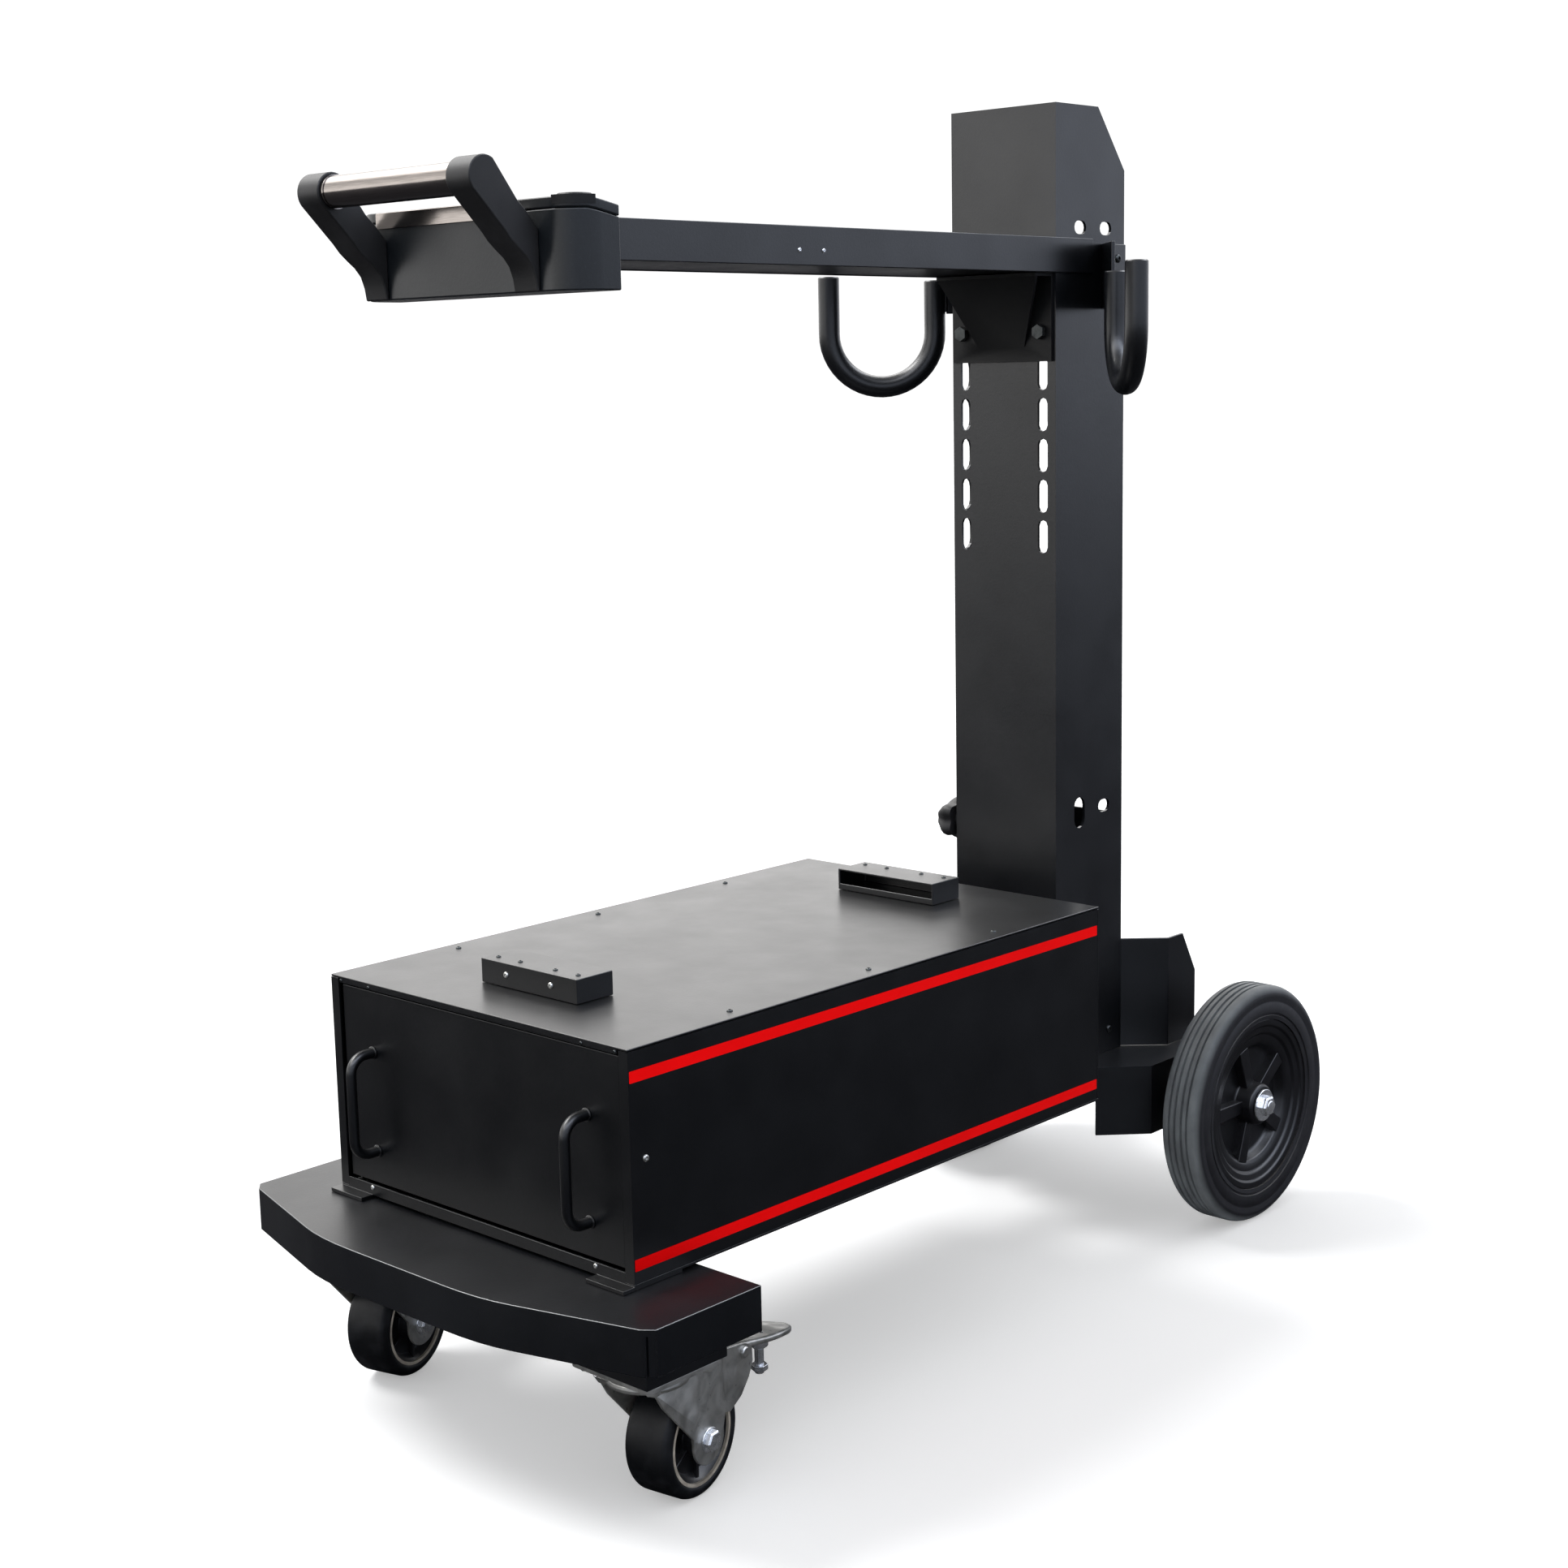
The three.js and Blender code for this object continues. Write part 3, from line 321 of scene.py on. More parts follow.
class Shader:
    """A Principled material under construction, with textures placed in the object's own coordinates."""

    def __init__(self, name, base, roughness, metallic=0.0, specular=0.5):
        """Starts with one plain colour."""
        self.material = bpy.data.materials.new(name)
        self.material.use_nodes = True
        self.tree = self.material.node_tree
        self.principled = self.tree.nodes["Principled BSDF"]
        self.principled.inputs["Metallic"].default_value = metallic
        self.principled.inputs["Specular IOR Level"].default_value = specular
        self.place = self.tree.nodes.new("ShaderNodeTexCoord").outputs["Object"]
        self.colour = self.rgb(base)
        self.roughness = roughness

    def rgb(self, colour):
        """A colour as a socket."""
        node = self.tree.nodes.new("ShaderNodeRGB")
        node.outputs[0].default_value = (*colour, 1)
        return node.outputs[0]

    def link(self, source, target):
        """Joins an output to an input."""
        self.tree.links.new(source, target)

    def noise(self, scale, detail, stretch=(1, 1, 1), distortion=0.0):
        """A noise value over the surface; scale is in features per metre."""
        mapping = self.tree.nodes.new("ShaderNodeMapping")
        mapping.inputs["Scale"].default_value = stretch
        self.link(self.place, mapping.inputs["Vector"])
        node = self.tree.nodes.new("ShaderNodeTexNoise")
        node.inputs["Scale"].default_value = scale
        node.inputs["Detail"].default_value = detail
        node.inputs["Distortion"].default_value = distortion
        self.link(mapping.outputs[0], node.inputs["Vector"])
        return node.outputs["Fac"]

    def ramp(self, value, low, high, to_low=0.0, to_high=1.0):
        """Maps a value from low..high to another range, held at both ends."""
        return map_range(self.tree, value, low, high, to_low, to_high)

    def maths(self, operation, *values):
        """One sum on sockets or plain numbers."""
        return calculated(self.tree, operation, *values)

    def tint(self, amount, colour):
        """Mixes a colour over what is there, by an amount."""
        node = self.tree.nodes.new("ShaderNodeMix")
        node.data_type = "RGBA"
        self.link(amount, node.inputs["Factor"])
        self.link(self.colour, node.inputs[6])
        node.inputs[7].default_value = (*colour, 1)
        self.colour = node.outputs[2]

    def upwards(self, low, high):
        """How much a face looks up."""
        normal = self.tree.nodes.new("ShaderNodeNewGeometry").outputs["Normal"]
        split = self.tree.nodes.new("ShaderNodeSeparateXYZ")
        self.link(normal, split.inputs[0])
        return self.ramp(split.outputs["Z"], low, high)

    def dust(self, amount):
        """Settles patchy dust on faces that look up."""
        up = self.upwards(0.5, 1.0)
        patches = self.ramp(self.noise(9, 6), 0.35, 0.75, 0.2 * amount, amount)
        self.tint(self.maths("MULTIPLY", up, patches), DUST)

    def scratches(self, amount, colour):
        """Thin broken lines along X."""
        lines = self.ramp(self.noise(7, 5, (4, 90, 90), 0.4), 0.66, 0.72, 0, amount)
        self.tint(lines, colour)

    def finish(self, spread, patch, layers=()):
        """Joins the colour, an uneven roughness and bump layers of (value, millimetres)."""
        low, high = self.roughness - spread, self.roughness + spread
        uneven = self.ramp(self.noise(patch, 5), 0.3, 0.7, low, high)
        self.link(uneven, self.principled.inputs["Roughness"])
        self.link(self.colour, self.principled.inputs["Base Color"])
        normal = None
        for value, depth in layers:
            bump = self.tree.nodes.new("ShaderNodeBump")
            bump.inputs["Strength"].default_value = 1
            bump.inputs["Distance"].default_value = depth * MM
            self.link(value, bump.inputs["Height"])
            if normal:
                self.link(normal, bump.inputs["Normal"])
            normal = bump.outputs["Normal"]
        if normal:
            self.link(normal, self.principled.inputs["Normal"])
        return self.material


def times(colour, factor):
    """A colour made lighter or darker."""
    return tuple(factor * c for c in colour)


def powder_coat(name, base, light, roughness, specular, dust):
    """A black coat, slightly cloudy, with pale specks and scratches."""
    s = Shader(name, base, roughness, 0.0, specular)
    s.tint(s.ramp(s.noise(13, 6, distortion=0.6), 0.4, 0.72), light)
    s.tint(s.ramp(s.noise(420, 2), 0.6, 0.75, 0, 0.35), times(light, 2.2))
    s.scratches(0.1, times(light, 3))
    s.dust(dust)
    grain, peel = (s.noise(1500, 2), 0.035), (s.noise(430, 2), 0.05)
    sheet_waves = (s.noise(5, 2), 0.4)
    return s.finish(0.035, 17, [grain, peel, sheet_waves])


def edge_highlight_coat():
    """The black coat on rounded edges, with a painted highlight: pale where they look up."""
    s = Shader("edge_highlight_coat", PAINT, 0.26, 0.0, 0.7)
    # Painted highlight: the up-facing part of each rounded edge is tinted pale.
    s.tint(s.upwards(0.15, 0.45), (0.16, 0.168, 0.175))
    return s.finish(0.03, 40, [(s.noise(900, 2), 0.03)])


def moulded_plastic(name, base, roughness, specular=0.35):
    """Black plastic with a fine moulded grain and a little dust."""
    s = Shader(name, base, roughness, 0.0, specular)
    s.tint(s.ramp(s.noise(30, 5), 0.4, 0.7), times(base, 1.9))
    s.dust(0.05)
    return s.finish(0.06, 26, [(s.noise(2200, 2), 0.03), (s.noise(700, 2), 0.04)])


def plated_steel(name, base, dark, roughness, mottle):
    """Plated steel: cloudy, with a fine grain and small dark marks."""
    s = Shader(name, base, roughness, 0.85)
    s.tint(s.ramp(s.noise(mottle, 5, distortion=1.2), 0.38, 0.7), dark)
    s.tint(s.ramp(s.noise(190, 4), 0.66, 0.74, 0, 0.6), times(dark, 0.35))
    return s.finish(0.08, 60, [(s.noise(900, 3), 0.02), (s.noise(160, 3), 0.05)])


def brushed_stainless():
    """Stainless steel with a grain around the bar."""
    s = Shader("brushed_stainless", (0.27, 0.245, 0.23), 0.17, 1.0)
    grain = s.noise(60, 4, (1, 34, 34))
    s.tint(s.ramp(grain, 0.35, 0.7), (0.21, 0.19, 0.175))
    s.tint(s.ramp(s.noise(24, 5), 0.62, 0.78, 0, 0.2), (0.16, 0.145, 0.135))
    return s.finish(0.03, 30, [(grain, 0.004)])


def tyre_rubber(centre, radius):
    """Black rubber that turns grey and dusty on the tread, with scuffs around the shoulders."""
    s = Shader("tyre_rubber", (0.0075, 0.0072, 0.009), 0.6, 0.0, 0.3)
    split = s.tree.nodes.new("ShaderNodeSeparateXYZ")
    s.link(s.place, split.inputs[0])
    y = s.maths("POWER", s.maths("SUBTRACT", split.outputs["Y"], centre.y * MM), 2)
    z = s.maths("POWER", s.maths("SUBTRACT", split.outputs["Z"], centre.z * MM), 2)
    reach = s.maths("SQRT", s.maths("ADD", y, z))
    tread = s.ramp(reach, (radius - 8) * MM, (radius - 2) * MM, 0, 1)
    patches = s.ramp(s.noise(24, 6, (3, 1, 1)), 0.25, 0.7, 0.45, 1.0)
    s.tint(s.maths("MULTIPLY", tread, patches), (0.15, 0.165, 0.175))
    s.tint(s.ramp(s.noise(38, 6), 0.56, 0.78, 0, 0.3), (0.03, 0.03, 0.033))
    s.dust(0.32)
    return s.finish(0.08, 40, [(s.noise(1200, 2), 0.05), (s.noise(260, 4), 0.08)])


def caster_rubber():
    """Smooth black rubber with grey scuffs."""
    s = Shader("caster_rubber", (0.003, 0.0034, 0.0044), 0.48, 0.0, 0.2)
    s.tint(s.ramp(s.noise(60, 6), 0.5, 0.75, 0, 0.6), (0.014, 0.015, 0.018))
    return s.finish(0.1, 50, [(s.noise(700, 3), 0.05), (s.noise(120, 4), 0.12)])


def red_tape():
    """Red tape, a little uneven."""
    s = Shader("red_tape", (0.82, 0.0005, 0.0015), 0.6, 0.0, 0.03)
    s.tint(s.ramp(s.noise(18, 5), 0.4, 0.75, 0, 0.5), (0.68, 0.0005, 0.001))
    return s.finish(0.05, 24, [(s.noise(600, 3), 0.02)])


def pale_ring():
    """The worn pale plastic of the rings in the caster wheels."""
    s = Shader("pale_ring", (0.36, 0.33, 0.29), 0.45, 0.0, 0.4)
    s.tint(s.ramp(s.noise(90, 5), 0.4, 0.7), (0.2, 0.18, 0.155))
    return s.finish(0.08, 60, [(s.noise(900, 2), 0.03)])


FRAME_COAT = powder_coat("frame_coat", PAINT, CLOUDY_PAINT, 0.34, 0.55, 0.012)
CABINET_COAT = powder_coat("cabinet_coat", DEEP_PAINT, CLOUDY_DEEP_PAINT, 0.32, 0.5, 0.01)
HEAD_COAT = powder_coat("head_coat", (0.0035, 0.0048, 0.0066), (0.006, 0.0078, 0.01), 0.33, 0.36, 0.015)
DECK_COAT = powder_coat("deck_coat", PAINT, CLOUDY_PAINT, 0.36, 0.36, 0.012)
# A black coat with a painted highlight, for the deck's rounded top edges.
EDGE_HIGHLIGHT_COAT = edge_highlight_coat()
MATT_COAT = powder_coat("matt_coat", (0.0016, 0.0018, 0.0022), (0.0026, 0.0029, 0.0034), 0.5, 0.25, 0.0)
NYLON = moulded_plastic("black_nylon", (0.006, 0.006, 0.0068), 0.5)
HUB_NYLON = moulded_plastic("hub_nylon", (0.003, 0.003, 0.004), 0.36, 0.4)
ZINC = plated_steel("zinc_plate", (0.5, 0.5, 0.48), (0.3, 0.3, 0.29), 0.36, 50)
BLACK_ZINC = plated_steel("black_zinc", (0.05, 0.055, 0.055), (0.025, 0.027, 0.028), 0.35, 90)
BRIGHT = plated_steel("bright_plate", (0.78, 0.79, 0.81), (0.5, 0.52, 0.55), 0.2, 160)
STAINLESS = brushed_stainless()
TYRE = tyre_rubber(WHEEL_CENTRE, WHEEL_RADIUS)
TREAD = caster_rubber()
RED = red_tape()
RING = pale_ring()


# ---------- the sheet-metal pieces keep their CAD shapes ----------


def dress_sheet_metal():
    """Rounds and paints the CAD nodes that no piece stands for."""
    frame_nodes = "caster_beam rear_cross_member axle_housing mast boom boom_cover".split()
    cabinet_nodes = "cabinet_bottom cabinet_top cabinet_rear saddle_front saddle_rear drawer_front".split()
    zinc_nodes = "rear_axle mast_foot drawer_tray".split()
    for side in SIDES:
        frame_nodes += [f"chassis_rail_{side}", f"cradle_{side}", f"hook_bracket_{side}"]
        cabinet_nodes += [f"cabinet_side_{side}"]
        zinc_nodes += [f"slide_outer_{side}", f"slide_inner_{side}"]
        dress(f"boom_bolt_{side}", BLACK_ZINC, EDGES["boom_bolt"])
    for node in frame_nodes:
        dress(node, FRAME_COAT, EDGES["frame"])
    for node in cabinet_nodes:
        dress(node, CABINET_COAT, EDGES["cabinet"])
    for node in zinc_nodes:
        dress(node, ZINC, EDGES["zinc"])
    dress("boom_bracket", MATT_COAT, EDGES["boom_bracket"])
    # The deck's rounded edges get the coat with the painted highlight.
    dress("deck_tray", DECK_COAT, EDGES["deck_tray"], EDGE_HIGHLIGHT_COAT)
    for node in ("head_housing", "head_lid"):
        dress(node, HEAD_COAT, EDGES[node])


# ---------- rear wheels ----------


def wheel_place(sign):
    """Puts a shape that was made along X at a rear wheel's centre."""
    return Matrix.Translation((sign * abs(WHEEL_CENTRE.x), WHEEL_CENTRE.y, WHEEL_CENTRE.z))


def tyre(side):
    """A solid tyre: round shoulders, four grooves around the tread and two thin lines on each sidewall."""
    low, high = corners(f"wheel_tyre_{side}")
    half = (high.x - low.x) / 2
    rim, crown, shoulder = 90, WHEEL_RADIUS, 11
    mouth, bottom, depth = 1.6, 0.9, 2.2
    side_line = [(rim, half - 2), (rim + 4, half - 1.5), (rim + 4.6, half - 2.4), (rim + 6.2, half - 2.4)]
    side_line += [(rim + 6.8, half - 1), (crown - 18, half - 0.2)]
    side_line += [(crown - 17.2, half - 1), (crown - 15.6, half - 1)]
    outer_shoulder = arc(half - shoulder, crown - shoulder, shoulder, 0, 90, 8)
    half_profile = side_line + [(r, x) for x, r in outer_shoulder]
    for groove in (10.5, 3.8):
        half_profile += [(crown, groove + mouth), (crown - depth, groove + bottom)]
        half_profile += [(crown - depth, groove - bottom), (crown, groove - mouth)]
    profile = half_profile + [(r, -x) for r, x in reversed(half_profile)]
    form = Form().add(revolved(profile, 144), wheel_place(SIDES[side]))
    piece(f"tyre_{side}", form, f"wheel_{side}", TYRE, [f"wheel_tyre_{side}"], sharp=50)


def wheel_hub(side):
    """A moulded hub: stepped rim, a deep ring of five pockets between spokes, and a boss."""
    low, high = corners(f"wheel_hub_{side}")
    half = (high.x - low.x) / 2
    bore = 10.4
    outline = [(bore, half), (19, half), (21.5, half - 2), (23, half - 19), (26, half - 20.5)]
    outline += [(56, half - 20.5), (59, half - 18), (62, half - 12), (66, half - 9.5), (73, half - 9)]
    outline += [(75, half - 6.5), (82, half - 5.5), (83, half - 3.6), (89.7, half - 3.2)]
    profile = outline + [(r, -x) for r, x in reversed(outline)]
    place = wheel_place(SIDES[side])
    form = Form().add(revolved(profile, 120), place)
    spoke = [(-6.5, 16), (-8, 64), (8, 64), (6.5, 16)]
    add_spokes(form, place, spoke, half - 10.5, 5, 18)
    piece(f"hub_{side}", form, f"wheel_{side}", HUB_NYLON, [f"wheel_hub_{side}"], edge=1.6)


def axle_bolt(side):
    """The bright washer and hexagon bolt at the middle of a wheel."""
    sign = SIDES[side]
    low, high = corners(f"axle_bolt_{side}")
    inner = low.x if sign > 0 else high.x
    place = facing((inner, WHEEL_CENTRE.y, WHEEL_CENTRE.z), (sign, 0, 0))
    plate, head = 2.5, 7
    form = Form()
    add_bolt(form, place, (17, plate), (11, head), 0.1)
    crown = revolved([(0, 0), (6, 0), (6, 0.8), (4.6, 1.4), (0, 1.4)], 24)
    form.add(crown, place @ Matrix.Translation((plate + head - 0.5, 0, 0)))
    piece(f"axle_end_{side}", form, "cart", BRIGHT, [f"axle_bolt_{side}"], edge=0.5)


# ---------- casters: x across, y back from the swivel axis, z up from the floor ----------

# How far out the fork's legs and its brake bracket's cheeks reach, as inner and outer faces.
LEG = (25.4, 28)
CHEEK = (23, 25.5)


def caster_frame(side):
    """The matrix of a caster's own frame, its wheel's centre and its pedal's pivot in that frame."""
    swivel = joint_place(f"caster_swivel_{side}")
    spin_axis = JOINTS[f"caster_spin_{side}"]["axis"]
    yaw = math.atan2(spin_axis[1], spin_axis[0])
    place = Matrix.Translation((swivel.x, swivel.y, 0)) @ Matrix.Rotation(yaw, 4, "Z")
    back = place.inverted()
    return place, back @ joint_place(f"caster_spin_{side}"), back @ joint_place(f"brake_press_{side}")


def caster_plate(side):
    """The top plate with its four bolts, the dished race and the king pin's nut."""
    swivel = joint_place(f"caster_swivel_{side}")
    place = Matrix.Translation((swivel.x, swivel.y, 0))
    low, high = corners(f"caster_plate_{side}")
    half_x, half_y = (high.x - low.x) / 2, (high.y - low.y) / 2
    thickness, corner = 4, 7
    under = high.z - thickness
    sheet = rounded(-half_x, half_x, -half_y, half_y, corner)
    form = Form().add(slab("z", sheet, under, high.z), place)
    race = [(0, -1), (33, -1), (33, 0.8), (30.5, 2.6), (24, 2.9), (0, 2.9)]
    form.add(revolved(race, 48), place @ facing((0, 0, under), DOWN))
    nut = 8
    form.add(hex_head(10, nut), place @ facing((0, 0, low.z + nut), DOWN))
    for x in (8 - half_x, half_x - 8):
        for y in (12 - half_y, half_y - 12):
            add_bolt(form, place @ facing((x, y, under), DOWN), (7.5, 1.2), (6, 4.2))
    piece(f"caster_top_{side}", form, "cart", ZINC, [f"caster_plate_{side}"], edge=0.4)


def caster_fork(side):
    """A stamped fork: a domed crown, two main legs that hold the axle and a brake bracket behind them."""
    place, wheel, pivot = caster_frame(side)
    crown = [(0, 110.5), (29, 110.5), (33.5, 112.5), (34.5, 115), (34, 118), (31, 120.6), (0, 120.6)]
    upright = Matrix.Rotation(-math.pi / 2, 4, "Y")
    form = Form().add(revolved(crown, 64), place @ upright)
    leg = [(-31, 118), (-24, 110), (-17, 99), (wheel.y - 21, 58)]
    leg += arc(wheel.y, wheel.z, 20.5, 172, 368, 20)
    leg += [(66, 66), (62, 96), (64, 118)]
    bracket = [(46, 117), (wheel.y + 14, 66), (76, 60), (92, 68), (103, 80), (109, 92), (108, 106)]
    bracket += [(98, 111), (64, 117)]
    shoulder = [(-31, 118), (-27, 112), (62, 112), (64, 118)]
    for sign in SIDES.values():
        form.add(slab("x", leg, *sided(sign, *LEG)), place)
        form.add(slab("x", bracket, *sided(sign, *CHEEK)), place)
        form.add(slab("x", shoulder, *sided(sign, 15, LEG[1])), place)
        pin = place @ facing((sign * LEG[0], pivot.y, pivot.z), (sign, 0, 0))
        form.add(revolved([(0, 0), (5, 0), (5, 2), (3.8, 3.2), (0, 3.4)], 24), pin)
    piece(f"fork_{side}", form, f"swivel_{side}", ZINC, [f"caster_fork_{side}"], edge=0.7)


def caster_axle(side):
    """The bolt through a caster wheel, with a washer and a nut on each leg."""
    place, wheel, _ = caster_frame(side)
    end, inner = LEG[1] + 6, 10
    form = Form().add(bar([place @ Vector((x, wheel.y, wheel.z)) for x in (-end, -inner, inner, end)], 5))
    for sign in SIDES.values():
        seat = place @ facing((sign * LEG[1], wheel.y, wheel.z), (sign, 0, 0))
        add_bolt(form, seat, (10.5, 1.4), (9, 5.5))
    node, body = f"caster_axle_{side}", f"swivel_{side}"
    piece(f"caster_bolt_{side}", form, body, BRIGHT, [node], edge=0.4)


def caster_wheel(side):
    """A caster wheel: a round rubber tread, a thin pale ring inside it and a dished hub with spokes."""
    place, wheel, _ = caster_frame(side)
    place = place @ Matrix.Translation(wheel)
    half = 22
    section = [(38.4, half - 2.4), (40, half - 0.6), (43, half)]
    section += [(r, x) for x, r in arc(half - 7, 43.5, 6.5, 10, 80, 6)]
    profile = section + [(50, 8), (50, -8)] + [(r, -x) for r, x in reversed(section)]
    tread = Form().add(revolved(profile, 96), place)
    body = f"caster_wheel_{side}"
    piece(f"tread_{side}", tread, body, TREAD, [f"caster_tread_{side}"], sharp=60)
    ring = Form()
    for sign in SIDES.values():
        lip = [(36.6, half - 4), (36.8, half - 0.9), (38.6, half - 0.5), (39.6, half - 1), (39.4, half - 4)]
        ring.add(revolved([(r, sign * x) for r, x in lip], 96), place)
    piece(f"wheel_ring_{side}", ring, body, RING, sharp=50)
    dish = [(5.4, 24), (13, 24), (14.5, 22), (16, 13), (20, 11.5), (31, 11.5), (35, 15.5), (37, 19.5)]
    hub = Form().add(revolved(dish + [(r, -x) for r, x in reversed(dish)], 96), place)
    spoke = [(-1.5, 13), (-1.5, 36), (1.5, 36), (1.5, 13)]
    add_spokes(hub, place, spoke, 16, 6)
    piece(f"caster_core_{side}", hub, body, HUB_NYLON, [f"caster_hub_{side}"], edge=0.5)


def brake_pedal(side):
    """A pressed pedal with turned-down edges and a narrow tip."""
    place, _, pivot = caster_frame(side)
    spine = [(-10, 4.5), (0, 5), (14, 2.5), (34, -2), (54, -6), (72, -8), (86, -12.5), (100, -17)]
    widths = [15, 19, 19.5, 20, 20.5, 19.5, 14, 6]
    half_across = [(1, -5.5), (1, -1.4), (0.93, 0), (0.35, 0.5)]
    across = [(-u, drop) for u, drop in half_across] + [(0, 1.3)] + half_across[::-1]
    verts = []
    for (back, rise), width in zip(spine, widths):
        verts += [(width * u, pivot.y + back, pivot.z + rise + drop) for u, drop in across]
    count = len(across)
    faces = []
    for i in range(len(spine) - 1):
        for k in range(count - 1):
            a = i * count + k
            faces.append((a, a + 1, a + count + 1, a + count))
    sheet = Form().add((verts, faces), place)
    obj = piece(f"pedal_{side}", sheet, f"pedal_{side}", ZINC, [f"brake_pedal_{side}"])
    thick = obj.modifiers.new("thickness", "SOLIDIFY")
    thick.thickness = 2 * MM
    smooth = obj.modifiers.new("pressing", "SUBSURF")
    smooth.levels = smooth.render_levels = 2


def brake_works(side):
    """The pedal's hinge pin, its shoe, and its adjusting screw with two nuts."""
    place, _, pivot = caster_frame(side)
    pin_end, pin_middle = CHEEK[0] - 1, 6
    stations = (-pin_end, -pin_middle, pin_middle, pin_end)
    works = Form().add(bar([place @ Vector((x, pivot.y, pivot.z)) for x in stations], 3))
    shoe = rounded(pivot.y - 8, pivot.y + 2, pivot.z - 25, pivot.z + 3, 2.5)
    works.add(slab("x", shoe, -12, 12), place)
    screw = Vector((8, pivot.y + 47, 0))
    tip, lower_nut, upper_nut = 64, 72, 94
    heights = (tip, lower_nut + 3, upper_nut - 6, pivot.z - 4)
    works.add(bar([place @ (screw + Vector((0, 0, z))) for z in heights], 4))
    works.add(hex_head(8, 7), place @ facing(screw + Vector((0, 0, upper_nut)), DOWN))
    works.add(hex_head(7.5, 5.5), place @ facing(screw + Vector((0, 0, lower_nut)), DOWN))
    piece(f"brake_works_{side}", works, f"pedal_{side}", BRIGHT, edge=0.4)


# ---------- handle, hooks, pulls, knob and plug ----------


def handle_cheek(side):
    """A thick cheek with soft edges that leans from the head's face to a round eye about the bar."""
    low, high = corners(f"handle_cheek_{side}")
    grip = middle("handle_bar")
    face, foot, eye = high.y, low.z, high.z - grip.z
    front_edge = [(0, 0), (2.5, 0), (4.2, 10), (7.5, 19), (13, 25.5), (20, 31), (27, 37), (33, 44)]
    rear_edge = [(19, 66), (10, 57.5), (4, 51), (0, 46)]
    outline = [(face - ahead, foot + rise) for ahead, rise in front_edge]
    outline += arc(grip.y, grip.z, eye, 219, 58, 22)
    outline += [(face - ahead, foot + rise) for ahead, rise in rear_edge]
    form = Form().add(slab("x", outline, low.x, high.x))
    piece(f"cheek_{side}", form, "boom", NYLON, [f"handle_cheek_{side}"], edge=3.2)


def handle_grip():
    """The stainless bar, with a thin collar at each cheek."""
    low, high = corners("handle_bar")
    centre = middle("handle_bar")
    r = (high.z - low.z) / 2
    parts = 8
    stations = [low.x + (high.x - low.x) * i / parts for i in range(parts + 1)]
    form = Form().add(bar([(x, centre.y, centre.z) for x in stations], r, 64))
    for x, sign in ((low.x + 3, -1), (high.x - 3, 1)):
        collar = revolved([(0, 0), (r + 0.7, 0), (r + 0.7, 2.4), (0, 2.8)], 64)
        form.add(collar, facing((x, centre.y, centre.z), (sign, 0, 0)))
    piece("grip_bar", form, "boom", STAINLESS, ["handle_bar"], sharp=40)


def lid_highlight_strip():
    """A thin bright stainless strip along the lid's front edge, between the cheeks, standing in for the
    highlight this edge catches: a painted highlight.
    """
    low, high = corners("head_lid")
    bar_low, bar_high = corners("handle_bar")
    strip = rounded(bar_low.x - 12, bar_high.x - 1, low.z + 1.2, high.z - 0.6, 1.2, 4)
    # Painted highlight: bright stainless set on the lid's edge where there is only a highlight.
    form = Form().add(slab("y", strip, low.y - 1.4, low.y - 0.1))
    piece("lid_highlight_strip", form, "boom", STAINLESS, edge=0.5)


def hook(side):
    """A U of round bar with an open outer end, and the weld beads where it meets its bracket."""
    sign = SIDES[side]
    low, high = corners(f"hook_{side}")
    r = 11
    near_x, far_x = (low.x + r, high.x - r) if sign > 0 else (high.x - r, low.x + r)
    near = Vector((near_x, high.y - r, 0))
    far = Vector((far_x, low.y + r, 0))
    ahead = (far - near).normalized()
    bend = (far - near).length / 2
    springing = low.z + r + bend
    near_top = high.z - 5.5
    straights, turns = 5, 24
    fall, climb = springing - near_top, high.z - springing
    path = [near + Vector((0, 0, near_top + fall * i / straights)) for i in range(straights + 1)]
    for i in range(1, turns):
        t = math.pi * i / turns
        along, height = bend - bend * math.cos(t), springing - bend * math.sin(t)
        path.append(near + ahead * along + Vector((0, 0, height)))
    path += [far + Vector((0, 0, springing + climb * i / straights)) for i in range(straights + 1)]
    form = Form().add(bar(path, r, 32, 1.2))
    bead_low = corners(f"hook_bracket_{side}")[0].z + 2
    bead_length = near_top - 2 - bead_low
    seam = near - ahead * (r + 0.3)
    for beside in (-2.6, 2.6):
        start = seam + Vector((-ahead.y, ahead.x, 0)) * beside + Vector((0, 0, bead_low))
        form.add(bar([start + Vector((0, 0, bead_length * i / 10)) for i in range(11)], 1.8, 10))
    piece(f"u_hook_{side}", form, "cart", FRAME_COAT, [f"hook_{side}"], sharp=40)


def drawer_pull(side):
    """A bow pull of round rod with wide bends and a thin foot at each end."""
    low, high = corners(f"drawer_pull_{side}")
    r = (high.x - low.x) / 2
    x = (low.x + high.x) / 2
    front, back = low.y + r, high.y
    bend = 15
    top, bottom = high.z - r, low.z + r
    elbow = front + bend + 4
    line = [(back, top), (elbow, top)]
    line += arc(front + bend, top - bend, bend, 90, 180, 8)
    line += arc(front + bend, bottom + bend, bend, 180, 270, 8)
    line += [(elbow, bottom), (back, bottom)]
    form = Form().add(bar([(x, y, z) for y, z in line], r, 20))
    for z in (top, bottom):
        foot = revolved([(0, 0), (5.6, 0), (5.6, 0.8), (4.8, 1.4), (0, 1.4)], 28)
        form.add(foot, facing((x, back, z), FORWARD))
    piece(f"pull_{side}", form, "drawer", CABINET_COAT, [f"drawer_pull_{side}"], sharp=40)


